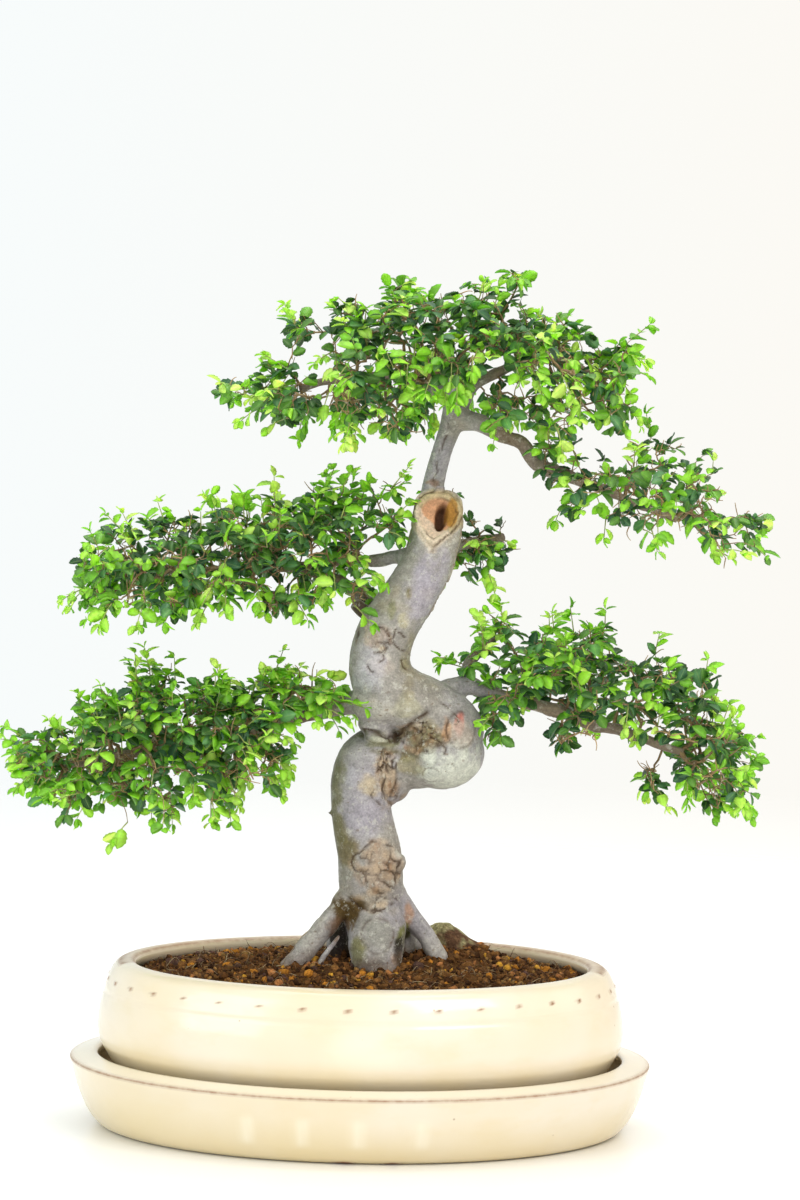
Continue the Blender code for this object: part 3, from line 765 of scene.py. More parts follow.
limbPaths = {
    "apex": [
        [(56, 8, 502, 4.8), (74, 12, 526, 3.6), (100, 16, 540, 3),
         (132, 12, 544, 2.4), (160, 6, 530, 1.8)],
        [(54.5, 5, 516, 4.2), (20, 10, 530, 3.4), (-22, 10, 528, 2.7),
         (-52, 4, 520, 2.1)],
        [(55, 6, 512, 5), (50, 30, 530, 4), (44, 52, 542, 3)],
    ],
    "upperRight": [
        [(57, 8, 503, 6.8), (82, 4, 494, 6.2), (100, 0, 485, 5.6),
         (118, -4, 470, 4.9), (160, -8, 455, 3.5), (214, -10, 434, 2.4)],
    ],
    "middleLeft": [
        [(36, -2, 400, 8), (21, 6, 404, 5.6), (4, 12, 400, 4.6),
         (-26, 30, 397, 3.4), (-78, 34, 391, 2.6), (-146, 18, 389, 1.9)],
        [(12, 4, 366, 5.5), (-4, 20, 371, 4.5), (-22, 38, 384, 3.6),
         (-58, 44, 394, 2.8)],
    ],
    "middleBack": [
        [(42, 0, 408, 8), (56, 20, 410, 5.5), (74, 40, 413, 4),
         (94, 52, 416, 3)],
    ],
    "lowerLeft": [
        [(6, 0, 304, 10), (-15, 14, 296, 6.6), (-48, 16, 288, 5.2),
         (-95, 10, 275, 4.2), (-158, 0, 261, 3.1), (-218, -6, 251, 2.1)],
    ],
    "lowerRight": [
        [(50, 0, 303, 10), (68, 6, 314, 6.6), (94, 8, 306, 5.4),
         (126, 8, 298, 4.9), (176, 4, 284, 4), (222, -2, 270, 2.6)],
        [(67, 6, 313, 5), (74, 16, 332, 4), (88, 26, 345, 2.8)],
    ],
}
swellings = [  # (centre, radii) in mm, that melt into the trunk
    ((53, -3, 267), (30, 27, 26.5)), ((11, -17, 137), (18.5, 14.5, 19)), ((10, -9, 301), (22, 20, 15)),
    ((25.5, -8, 189), (4.6, 6, 6.5)), ((23, 1, 403), (5, 7, 6)), ((50, 3, 299), (14, 12, 12)),
    ((2, 1, 262), (21, 19, 14)), ((7, -8, 287), (13, 12, 10)), ((10, -10, 277), (11, 11, 5)),
    ((20, 0, 249), (14, 15, 19)), ((36, -2, 254), (21, 14, 14)), ((-13, 15, 130), (13, 9, 18)),
    ((24, 12, 126), (14, 10, 18)),
]
plates = [  # flaky bark on the front: (x, z, half-width, half-height) in mm, and how far it stands
    (11, 187, 17, 18, 1.0), (7, 163, 14, 8, 0.9), (15, 248, 8.5, 23, 1.3), (38, 279, 20, 12, 1.3),
    (4, 350, 13, 9, 0.45), (43, 455.5, 6, 3.5, 0.8),
]
cracks = [  # dark lines on the front, in mm
    [(-5, 183), (-9, 187), (-8, 193), (-3, 196), (1, 201), (6, 204), (13, 203), (19, 201)],
    [(-5, 183), (-1, 184), (2, 180), (3, 173), (8, 169), (17, 168), (24, 163)],
    [(-12, 164), (-6, 161), (-2, 157), (6, 156), (13, 157), (20, 160)],
    [(-2, 346.6), (-1.8, 352), (1, 355), (6, 356.4), (10.4, 355), (14.2, 350)],
    [(-2, 346.6), (3, 346), (8.6, 345.7), (13.2, 341.5), (10.4, 338.5), (4, 338.2)],
    [(10.4, 338.5), (11.4, 333.5), (7.6, 331.2)],
    [(18.8, 355), (18, 350), (16.5, 347.5), (20.7, 342.8), (24.4, 340), (29, 336.5)],
    [(20, 352.6), (23.5, 351.7), (26.3, 349)], [(24, 332.6), (25.3, 328), (29, 325)],
    [(0, 329), (1.5, 326), (4, 325)], [(44, 312), (50, 306), (57, 300), (62, 296), (64, 291)],
    [(57, 293), (56, 287), (56, 281), (59, 276)], [(46, 280), (52, 277), (56, 272), (55, 268)],
    [(11, 268), (12, 260), (9, 254), (8, 246), (4, 237), (8, 232), (14, 226)],
    [(20, 268), (21, 258), (22, 249), (19, 240), (17, 232)], [(15, 262), (15, 250), (12, 240)],
    [(-4, 283), (0, 280), (6, 281), (13, 280), (17, 277)], [(16, 277), (17, 270), (15, 262)],
    [(43.2, 455), (44, 460), (46.2, 464), (45.4, 469), (47.2, 474), (46.6, 479)],
    [(48.5, 480), (50, 486), (53.5, 491), (53, 498)],
]
creases = [  # deep folds where the trunk turns back on itself, darkened with painted shade, in mm
    [(15, 277.5), (19, 279), (24, 282), (29, 286), (35, 291), (42, 297)],
    [(-8, 283), (-4, 281.5), (1, 281.5), (8, 281.5), (15, 279)],
]
rings = [  # healed cuts: (x, z, half-width, half-height) in mm
    (66, 285, 10, 12.5), (59, 258, 3.7, 3.7), (46, 253, 6, 5.2), (11, 140, 11.5, 12),
]
stainsAndShade = [  # stains and painted shade: (x, z, half-width, half-height) in mm, screen colour, strength
    (-12, 196, 9, 9, (118, 104, 52), 0.8), (-17, 210, 5, 9, (126, 116, 66), 0.7),
    (9, 186, 16, 16, (196, 172, 146), 0.7), (7, 163, 14, 8, (190, 176, 152), 0.6),
    (-10, 156, 10, 8, (104, 78, 30), 0.95), (-12, 146, 7, 7, (116, 86, 36), 0.8),
    (3, 243, 7, 8, (206, 186, 150), 0.75), (0, 222, 14, 12, (172, 166, 176), 0.6),
    (15, 248, 8, 21, (200, 176, 146), 0.85), (38, 280, 18, 11, (142, 130, 90), 0.9),
    (33, 268, 14, 6, (112, 100, 56), 0.8), (56, 285, 3.4, 8, (200, 150, 104), 0.7),
    (65, 290, 3.4, 8, (206, 120, 104), 0.85), (68, 282, 9, 10, (206, 190, 174), 0.7),
    (45, 263, 8, 6, (104, 102, 92), 0.75), (60, 256, 24, 17, (228, 230, 214), 0.85),
    (30, 258, 11, 7, (158, 146, 96), 0.6), (12, 274, 14, 5, (138, 136, 92), 0.8),
    (33, 152, 4, 9, (192, 146, 112), 0.75), (29, 140, 5, 7, (120, 122, 46), 0.9),
    (-4, 128, 8, 10, (134, 130, 70), 0.75), (12, 139, 10, 11, (158, 156, 146), 0.7),
    (26, 124, 6, 5, (186, 146, 112), 0.6), (28, 380, 2.4, 4.5, (124, 112, 40), 0.9),
    (16, 369, 3.5, 8, (146, 144, 100), 0.7), (24, 361, 4, 6, (206, 196, 158), 0.6),
    (6, 349, 10, 9, (206, 186, 172), 0.7), (10, 341, 4, 4, (206, 170, 120), 0.6),
    (8, 330, 12, 9, (198, 180, 168), 0.6), (25, 329, 4, 7, (160, 150, 104), 0.6),
    (28, 302, 9, 8, (190, 184, 150), 0.5), (42, 382, 15, 28, (188, 180, 196), 0.65),
    (-10, 156, 12, 9, (92, 70, 26), 0.9), (-19, 141, 6, 10, (122, 88, 56), 0.8),
    (27, 128, 5, 10, (44, 34, 20), 0.9), (-4, 366, 7, 8, (84, 62, 44), 0.9),
    # painted shade: the dark spots at (-2, 279) here and (21, 277) below lie in the crease
    (-2, 279, 5, 5, (88, 84, 46), 0.85), (9, 278, 8, 3.4, (206, 204, 184), 0.8),
    (-12, 250, 6, 8, (196, 192, 200), 0.5), (21, 277, 4, 4, (60, 50, 34), 0.95),
    (14, 268, 12, 3, (112, 104, 62), 0.7), (3, 330, 12, 20, (206, 202, 210), 0.55),
    # painted shade: the olive patches at x = -22 here and x = -21 below darken the trunk's left edge
    (28, 232, 4, 6, (168, 140, 108), 0.5), (-22, 250, 8, 30, (138, 134, 100), 0.9),
    (-21, 215, 6, 20, (132, 126, 88), 0.7), (2, 300, 16, 9, (204, 198, 184), 0.5),
    (30, 330, 6, 20, (160, 146, 112), 0.5),
]


def screen(red, green, blue):  # a screen colour as linear light
    value = np.array([red, green, blue]) / 255
    return np.where(value <= 0.04045, value / 12.92, ((value + 0.055) / 1.055) ** 2.4)


def oval(x, z, spot):  # distance from an oval's centre, where 1 is its edge
    return np.hypot((x - spot[0] * mm) / (spot[2] * mm), (z - spot[1] * mm) / (spot[3] * mm))


def lineDistance(x, z, line):  # the least distance to the straight stretches between a line's points
    nearest = np.full(len(x), 1.0)
    for (ax, az), (bx, bz) in zip(line[:-1], line[1:]):
        a, d = np.array([ax, az]) * mm, np.array([bx - ax, bz - az]) * mm
        t = np.clip(((x - a[0]) * d[0] + (z - a[1]) * d[1]) / (d @ d), 0, 1)
        nearest = np.minimum(nearest, np.hypot(x - a[0] - t * d[0], z - a[1] - t * d[1]))
    return nearest


def remeshed(mesh, voxel):  # one skin round everything in the mesh
    holder = bpy.data.objects.new("holder", mesh)
    scene.collection.objects.link(holder)
    change = holder.modifiers.new("skin", "REMESH")
    change.mode, change.voxel_size, change.adaptivity = "VOXEL", voxel, 0
    made = bpy.data.meshes.new_from_object(holder.evaluated_get(bpy.context.evaluated_depsgraph_get()))
    bpy.data.objects.remove(holder)
    return made


def wobbled(path, count, size, amount, seed):  # a smooth path with small side steps and changes of girth
    line = smoothPath(path, count)
    shift = np.stack([roughNoise(line[:, :3], size, 2, seed + k) for k in range(3)], 1)
    fade = np.minimum(1, np.arange(count)[:, None] / 6)
    line[:, :3] += shift * amount * fade * 2.2 * line[:, 3:]
    line[:, 3] *= 1 + amount * roughNoise(line[:, :3], size * 0.6, 2, seed + 5)
    return line


def limbLine(path, count):  # a limb's path in metres with its wobble
    return wobbled(np.array(path) * mm, count, 20 * mm, wood["limbWobble"], 11)


def shareOf(points, size, seed, low, high, octaves=3):  # where rough noise passes from low to high
    return stepUp(low, high, roughNoise(points, size, octaves, seed))


def barkSurface(points, normals):  # how far each point moves outwards, as a sum of its marks, and its colour
    x, y, z = points.T
    front = stepUp(0.0, 0.45, -normals[:, 1])
    rest = 1 - front
    out = wood["lumps"] * roughNoise(points, 34 * mm, 2, 1)
    out += wood["ripples"] * roughNoise(points, 6 * mm, 3, 2)
    out += wood["grain"] * roughNoise(points * (1, 1, 3.2), 5 * mm, 2, 9)
    bent = points + 4.2 * mm * np.stack([roughNoise(points, 12 * mm, 3, 20 + k) for k in range(3)], 1)
    near, second, number = cells(bent * (1, 1, 0.85), wood["flakeSize"], 3)
    strips = cells((0.65 * points + 0.35 * bent) * (1.9, 1.9, 0.30), 6 * mm, 4)
    shreds = stepUp(1.25, 0.9, oval(x, z, wood["shredded"])) * front > 0.5
    crumbs = cells(bent, 5.5 * mm, 6)
    crumbly = stepUp(1.25, 0.9, oval(x, z, wood["crumbling"])) * front > 0.5
    near, second, number = (
        np.where(shreds, b, np.where(crumbly, c, a))
        for a, b, c in zip((near, second, number), strips, crumbs)
    )
    edge = (second - near) * (1 + 0.5 * softNoise(points, 7 * mm, 33))
    flaky = np.zeros(len(points))
    stands = np.zeros(len(points))
    ragged = 0.28 * roughNoise(points, 8 * mm, 2, 30)
    for spot in plates:
        inside = stepUp(1.12, 0.82, oval(x, z, spot) + ragged) * front
        flaky = np.maximum(flaky, inside)
        stands = np.maximum(stands, inside * spot[4])
    wild = stepUp(0.30, 0.52, softNoise(points, 47 * mm, 77)) * rest
    flaky = np.maximum(flaky, wild)
    stands = np.maximum(stands, wild)
    out += stands * mm * (0.25 + 0.95 * number) * stepUp(0.02, 0.16, edge) * (1 + 0.6 * shreds)
    seam = flaky * stepUp(0.14, 0.03, edge) * stepUp(-0.35, 0.25, softNoise(points, 13 * mm, 34))
    out -= wood["seamDepth"] * seam
    crumbled = roughNoise(points, 5 * mm, 3, 35)
    out += wood["crumbDepth"] * crumbly * flaky * crumbled

    # dark: the seams between flakes, and painted shade in the low spots of the crumbled bark
    dark = np.maximum(0.85 * seam, 0.8 * crumbly * flaky * stepUp(0.05, -0.45, crumbled))
    shake = [1.2 * mm * softNoise(points, 8 * mm, seed) for seed in (52, 53)]
    for line in creases:
        apart = lineDistance(x + shake[0], z + shake[1], line)
        out -= wood["creaseDepth"] * np.exp(-((apart / (1.9 * mm)) ** 2)) * front
        # painted shade along the fold
        dark = np.maximum(dark, np.exp(-((apart / (1.5 * mm)) ** 2)) * front * 0.9)
    shake = [0.9 * mm * softNoise(points, 5 * mm, seed) for seed in (50, 51)]
    broken = stepUp(-0.5, 0.1, softNoise(points, 6 * mm, 58))
    for line in cracks:
        apart = lineDistance(x + shake[0], z + shake[1], line)
        groove = stepUp(1.4 * mm, 0.2 * mm, apart) * front * broken
        out -= wood["crackDepth"] * groove
        out += 0.35 * mm * np.exp(-(((apart - 2.6 * mm) / (1.2 * mm)) ** 2)) * front
        dark = np.maximum(dark, stepUp(1.15 * mm, 0.2 * mm, apart) * front * broken * 0.85)
    broken = stepUp(-0.5, 0.2, softNoise(points, 7 * mm, 56))
    for spot in rings:
        away = oval(x, z, spot) + 0.05 * softNoise(points, 6 * mm, 55)
        out -= 0.35 * mm * np.exp(-(((away - 1) / 0.09) ** 2)) * front
        out += 0.3 * mm * stepUp(1.0, 0.6, away) * front
        dark = np.maximum(dark, 0.55 * np.exp(-(((away - 1) / 0.075) ** 2)) * front * broken)

    light = 0.5 + 0.5 * roughNoise(points, 26 * mm, 3, 4)
    base = painted(screen(*wood["darkGrey"]), light, screen(*wood["paleGrey"]))
    base = painted(base, 0.5 * shareOf(points, 38 * mm, 5, -0.3, 0.5, 2), screen(*wood["coolGrey"]))
    base = painted(base, 0.45 * shareOf(points, 19 * mm, 6, 0.25, 0.75), screen(*wood["warmGrey"]))
    olive = shareOf(points, 15 * mm, 7, 0.30, 0.75) * stepUp(0.42, 0.12, z)
    base = painted(base, 0.35 * olive, screen(*wood["olive"]))
    soft = 0.75 * roughNoise(points, 9 * mm, 4, 31)
    # real stains, and painted shade on the left edge and in the crease
    for sx, sz, w, h, colour, strength in stainsAndShade:
        inside = stepUp(1.25, 0.55, oval(x, z, (sx, sz, w, h)) + soft) * front * strength
        base = painted(base, inside, 0.9 * screen(*colour))
    patchy = flaky * stepUp(-0.2, 0.5, softNoise(points, 5 * mm, 36)) * 0.45 * (1 - wild)
    base = painted(base, patchy, screen(*wood["underFlakes"]))
    rusty = flaky * stepUp(0.45, 0.15, edge) * stepUp(0.0, 0.5, softNoise(points, 9 * mm, 37)) * 0.6
    base = painted(base, rusty, screen(*wood["rust"]))
    base = painted(base, wild * 0.55, screen(182, 160, 130))
    base = base * (0.82 + 0.32 * number * flaky + 0.18 * (1 - flaky))[:, None]
    dots = cells(points * (1, 1, 1.6), wood["dotSpacing"], 12)
    lenticel = stepUp(0.25, 0.12, dots[0]) * (dots[2] > 0.55)
    lenticel = lenticel * stepUp(-0.1, 0.4, softNoise(points, 30 * mm, 15)) * (1 - flaky)
    out += wood["dotHeight"] * lenticel
    base = painted(base, 0.7 * lenticel, screen(120, 92, 62))
    base = base * (0.89 * (1 + 0.16 * roughNoise(points, 5 * mm, 3, 88)))[:, None]
    # dark brown for cracks, seams and ring lines, and painted shade in creases and crevices
    base = painted(base, dark, screen(*wood["crackBrownAndShade"]))
    stems = np.vstack([smoothPath(trunkPath, 70), smoothPath(leaderPath, 26)])
    beyond = np.full(len(points), 1.0)
    for start in range(0, len(points), 20000):  # in blocks, to spare memory
        part = slice(start, start + 20000)
        away = np.linalg.norm(points[part, None] - stems[None, :, :3], axis=2)
        beyond[part] = (away - stems[None, :, 3]).min(axis=1)
    limb = stepUp(5 * mm, 32 * mm, beyond) * (z > 200 * mm)
    base = painted(base, limb, base * np.array([[0.66, 0.54, 0.40]]))
    # painted shadow: near-black in the hollow between the left root and the foot
    paintedCavityShadow = (y > -5 * mm) & (z < 143 * mm) & (x > -23 * mm) & (x < -5 * mm) & (np.hypot(x, y) < 26 * mm)
    base = painted(base, paintedCavityShadow * 0.92, screen(38, 27, 18))
    soilStain = stepUp(128 * mm, 116 * mm, z + 5 * mm * softNoise(points, 9 * mm, 70))
    base = painted(base, 0.7 * soilStain, screen(96, 74, 50))
    return out, base


def cutWound(points, normals, out, colour):  # a slanting cut with a rolled lip, bare wood and a hollow darkened with painted shadow
    spot = np.array(wood["cutSpot"]) * mm
    ahead = unit(np.array(wood["cutFacing"]))
    proud = (points - spot) @ ahead
    nearTop = (np.abs(points[:, 2] - 431 * mm) < 23 * mm) & (points[:, 1] < 6 * mm)
    nearTop = nearTop & (points[:, 0] > 22 * mm) & (points[:, 0] < 72 * mm)
    shift = np.where(nearTop, np.maximum(proud, 0), 0)
    moved = points - shift[:, None] * ahead
    x, z = moved[:, 0] / mm, moved[:, 2] / mm
    low = np.clip((434 - z) / 23, 0, 1)
    high = np.clip((z - 434) / 15.5, 0, 1.4)
    centre = 46.8 - 3.6 * low
    power = 2 - 0.62 * stepUp(0.15, 0.75, low)
    across = np.abs(x - centre) / (16.8 * (1 - 0.26 * low))
    q = (across**power + (1.1 * low + high) ** power) ** (1 / power)
    onFace = stepUp(1.30, 1.02, q) * nearTop * (proud > -7 * mm)
    grit = softNoise(points, 3.2 * mm, 81)
    lip = np.exp(-(((q - 0.90 + 0.03 * grit) / 0.13) ** 2))
    bowl = stepUp(0.80, 0.35, q)
    hole = stepUp(1.08, 0.74, np.hypot((x - 49.7 - 0.12 * (z - 434)) / 4.6, (z - 434) / 10) + 0.12 * grit)
    rise = (2.1 * lip - 2.6 * bowl - 8.5 * hole * bowl ** 0.4) * mm * onFace
    face = screen(*wood["lipTan"]) * (1 - 0.4 * np.abs(grit)[:, None])
    face = painted(face, stepUp(0.82, 0.66, q), screen(*wood["salmonWood"]))
    pale = stepUp(1.2, -1.2, z - 437.4 + 0.8 * (x - 34.5) + 2 * grit)
    face = painted(face, 0.75 * pale, screen(*wood["paleWood"]))
    wall = stepUp(1.15, 0.8, np.hypot((x - 56.5) / 4.6, (z - 435) / 10) + 0.1 * grit)
    face = painted(face, 0.85 * wall, screen(*wood["amberWood"]))
    # painted shadow in the hollow, less where its far wall shows
    face = painted(face, hole * 0.97 * (1 - 0.75 * wall), screen(*wood["hollowShadow"]))
    slant = np.abs((x - centre) * 0.75 - (z - 432) * 0.66) / (np.hypot(x - centre, z - 432) + 1)
    outer = np.exp(-(((q - 1.05 + 0.07 * grit) / 0.05) ** 2)) * (0.3 + 0.65 * stepUp(0.35, 0.85, slant))
    innerLine = np.exp(-(((q - 0.79 + 0.05 * grit) / 0.035) ** 2)) * 0.7
    innerLine = innerLine * stepUp(-0.3, 0.3, softNoise(points, 6 * mm, 83))
    face = painted(face, np.maximum(outer, innerLine), screen(*wood["lipOutline"]))
    colour = painted(colour, onFace, face)
    keep = 1 - stepUp(1.25, 1.0, q) * nearTop * (proud > -7 * mm)
    return moved + ahead * rise[:, None], out * keep, colour, stepUp(1.1, 0.95, q) * onFace


def barkMaterial():  # stored colours times two grains, with pale lichen and dark specks off the bare wood
    material, tree, shader = startMaterial("elm bark", Roughness=0.72, Specular_IOR_Level=0.32)
    colour = attribute(tree, "bark")["Color"]
    grain = between(tree, noise(tree, 0.006, 8, (1, 1, 1.3), 0.8), 0.3, 0.7, 0.68, 1.28)
    fine = between(tree, noise(tree, 0.0014, 3), 0.3, 0.7, 0.80, 1.18)
    colour = shaded(tree, colour, maths(tree, "MULTIPLY", grain, fine))
    skinned = maths(tree, "SUBTRACT", 1.0, attribute(tree, "bareWood")["Fac"])
    lichen = between(tree, noise(tree, 0.006, 8, rough=0.8), 0.55, 0.61, 0, 0.5)
    colour = blend(tree, maths(tree, "MULTIPLY", lichen, skinned), colour, (0.62, 0.60, 0.52))
    some = maths(tree, "MULTIPLY", between(tree, noise(tree, 0.014, 4), 0.48, 0.58, 0, 0.7), skinned)
    dotted = maths(tree, "MULTIPLY", between(tree, nearestDot(tree, 240.0), 0.17, 0.07), some)
    colour = blend(tree, dotted, colour, (0.16, 0.12, 0.07))
    tree.links.new(colour, shader.inputs["Base Color"])
    tree.links.new(between(tree, grain, 0.75, 1.2, 0.82, 0.6), shader.inputs["Roughness"])
    few = between(tree, noise(tree, 0.011, 3), 0.50, 0.60)
    speck = maths(tree, "MULTIPLY", between(tree, nearestDot(tree, 330.0), 0.20, 0.08), few)
    height = noise(tree, 0.004, 6, (1, 1, 1.4), 0.7)
    height = maths(tree, "ADD", height, maths(tree, "MULTIPLY", speck, 0.35))
    bump(tree, shader, height, 1.1 * mm, 0.75)
    return material


def barked(mesh, material, name, rounds, wound=False):  # moves a skin's points and colours them
    points = pointsOf(mesh)
    edges = pointsOf(mesh, "edges", "vertices", 2, np.int32)
    points = relaxed(points, edges, rounds, 0.5)
    mesh.vertices.foreach_set("co", points.astype(np.float32).ravel())
    mesh.update()
    normals = pointsOf(mesh, "vertices", "normal")
    out, colour = barkSurface(points, normals)
    if wound:
        points, out, colour, bare = cutWound(points, normals, out, colour)
        addNumbers(mesh, "bareWood", bare)
    points = points + normals * out[:, None]
    mesh.vertices.foreach_set("co", points.astype(np.float32).ravel())
    mesh.update()
    mesh.shade_smooth()
    mesh.name = name
    addNumbers(mesh, "bark", np.clip(colour, 0, 1))
    return mesh


def buildWood():  # tubes along the paths and ball swellings, melted into one skin
    ball = pebble(20, 28)
    parts = [tubes(smoothPath(trunkPath, 150)[None], 44)]
    for k, path in enumerate(rootPaths):
        parts.append(tubes(wobbled(np.array(path) * mm, 44, 16 * mm, 0.16, 5 + k)[None], 20))
    parts.append(tubes(smoothPath(leaderPath, 60)[None], 22))
    for centre, radii in swellings:
        parts.append((np.array(centre) * mm + ball[0] * np.array(radii) * mm, [ball[1], ball[2]]))
    spike = np.array([[(-20, 2, 221, 2.4), (-24.5, 2, 221.6, 1.6), (-26.8, 2, 222.2, 0.6)]]) * mm
    parts.append(tubes(spike, 8))
    stub = np.array([[(4, 4, 360, 6), (-6, 5, 366, 5.2), (-10.5, 6, 370.5, 4.6)]]) * mm
    parts.append(tubes(stub, 14))
    for paths in limbPaths.values():
        for path in paths:
            line = limbLine(path, 60)[:20]
            line[:, 3] *= np.linspace(1.28, 0.72, len(line))
            parts.append(tubes(line[None], 16))
    verts, faces = joined(parts)
    skin = remeshed(meshFrom("woodParts", verts, faces), wood["voxel"])
    bark = barkMaterial()
    skin.materials.clear()
    addPiece(barked(skin, bark, "trunkAndRoots", wood["relax"], wound=True), bark, "bark", "trunk_and_limbs")
    print("trunk has", len(skin.polygons), "faces")
    return bark


def buildLimbs(bark):  # the rest of each limb, as a tube that narrows where it leaves the skin
    parts = []
    for paths in limbPaths.values():
        for path in paths:
            line = limbLine(path, 150)[10:]
            line[:, 3] *= np.interp(np.arange(len(line)), [0, 22, 44], [0.7, 0.8, 1.0])
            parts.append(tubes(line[None], 14))
    verts, faces = joined(parts)
    mesh = meshFrom("limbs", verts, faces)
    addPiece(barked(mesh, bark, "limbs", rounds=0), bark, "bark", "trunk_and_limbs")
    print("limbs ready")


foliage = {
    "tipSpacing": 13.6 * mm,
    "leafSpacing": 5.6 * mm,
    "leafLength": (8.5 * mm, 17.0 * mm),
    "leafWidth": 0.60,
    "droop": 19,  # mm; how far a pad hangs at its front and back
    "shootShare": 0.16,  # share of the outermost tips that carry a fresh shoot
    "twigPoints": 6,
    "twigRadius": 0.36 * mm,  # of a twig that carries no other
    "shootReach": (7 * mm, 19 * mm),
    "lightThrough": 0.40,
    "spursPerTwig": 1.0,
    "bluishShare": 0.35,  # of the older leaves; their blue is partly their own colour and partly a painted sheen of the white room
    "bareInside": 0.52,  # share of the innermost twigs that carry no leaves
    "closeness": {  # below 1 sets a pad's twigs closer
        "apex": 0.97, "upperRight": 1.09, "middleLeft": 0.93, "lowerLeft": 0.90, "lowerRight": 1.05,
        "middleBack": 0.86,
    },
    "youth": {"lowerLeft": 0.33},  # how fresh a pad's plainest leaves are; 0.26 for the rest
    "leavesPerPiece": 2200,
    "seed": 21,
}
clumps = {  # (x, z, half-width, half-height) in mm
    "apex": [
        (-97, 525, 22, 11), (-57, 521, 29, 22), (-52, 560, 8, 15), (-16, 561, 24, 25),
        (-8, 522, 31, 21), (19, 579, 24, 21), (17, 593, 8, 8), (39, 546, 41, 32), (65, 586, 21, 17),
        (99, 598, 8, 10), (88, 568, 34, 27), (122, 553, 31, 24), (153, 542, 29, 21),
        (122, 516, 31, 13), (169, 519, 24, 12), (175, 554, 13, 13), (13, 507, 25, 10),
        (44, 576, 14, 12), (86, 522, 15, 12),
    ],
    "upperRight": [
        (121, 495, 15, 11), (133, 474, 20, 17), (168, 468, 28, 20), (196, 473, 27, 20),
        (224, 469, 24, 19), (190, 446, 29, 14), (232, 443, 24, 15), (243, 422, 13, 11),
        (266, 434, 14, 6), (141, 445, 10, 11),
    ],
    "middleLeft": [
        (-196, 394, 14, 15), (-175, 407, 24, 18), (-168, 387, 28, 13), (-137, 412, 27, 20),
        (-133, 388, 31, 14), (-98, 420, 28, 20), (-94, 390, 31, 15), (-57, 427, 27, 21),
        (-52, 394, 27, 15), (-27, 441, 24, 20), (-18, 407, 20, 18), (5, 442, 20, 15),
        (18, 427, 10, 13), (-129, 366, 11, 7), (-68, 372, 12, 6), (-188, 371, 11, 7),
        (-112, 402, 24, 12), (-74, 408, 24, 12), (-38, 418, 18, 12), (-10, 380, 13, 9),
    ],
    "middleBack": [
        (73, 419, 17, 20), (93, 424, 14, 10), (72, 403, 12, 9), (54, 443, 11, 8), (66, 409, 10, 12),
        (84, 412, 12, 9),
    ],
    "lowerLeft": [
        (-240, 265, 10, 18), (-216, 268, 24, 18), (-212, 244, 24, 15), (-180, 288, 28, 18),
        (-178, 255, 31, 18), (-151, 304, 24, 18), (-141, 272, 31, 21), (-115, 298, 21, 18),
        (-105, 266, 27, 18), (-81, 281, 20, 20), (-69, 264, 15, 15), (-60, 313, 20, 17),
        (-33, 310, 20, 18), (-17, 308, 8, 15), (-165, 234, 17, 7), (-136, 228, 9, 7),
        (-204, 226, 10, 7), (-98, 247, 13, 7), (-92, 299, 18, 13),
    ],
    "lowerRight": [
        (85, 351, 18, 20), (74, 330, 11, 13), (120, 353, 24, 17), (156, 356, 18, 14),
        (94, 316, 27, 17), (129, 327, 31, 20), (164, 332, 27, 20), (151, 304, 25, 13),
        (199, 328, 24, 17), (227, 319, 20, 17), (200, 300, 27, 14), (235, 296, 24, 18),
        (254, 279, 24, 17), (235, 263, 21, 14), (262, 257, 15, 13), (245, 237, 10, 10),
        (203, 249, 11, 10), (92, 281, 10, 8), (133, 280, 11, 8), (45, 327, 11, 11), (84, 305, 10, 8),
    ],
}
spread = {  # each pad seen from above: middle x and y, half-length and half-depth, in mm
    "apex": (45, 0, 150, 78), "upperRight": (193, -6, 98, 60), "middleLeft": (-86, 6, 122, 74),
    "middleBack": (80, 44, 44, 34), "lowerLeft": (-130, -2, 126, 84), "lowerRight": (172, 4, 118, 80),
}
leafTones = [  # (tone, screen colour); tone is freshness with painted light from above
    (0.0, (42, 88, 30)), (0.2, (76, 124, 62)), (0.4, (114, 166, 78)), (0.6, (134, 202, 54)),
    (0.78, (178, 236, 64)), (1.0, (226, 252, 138)),
]


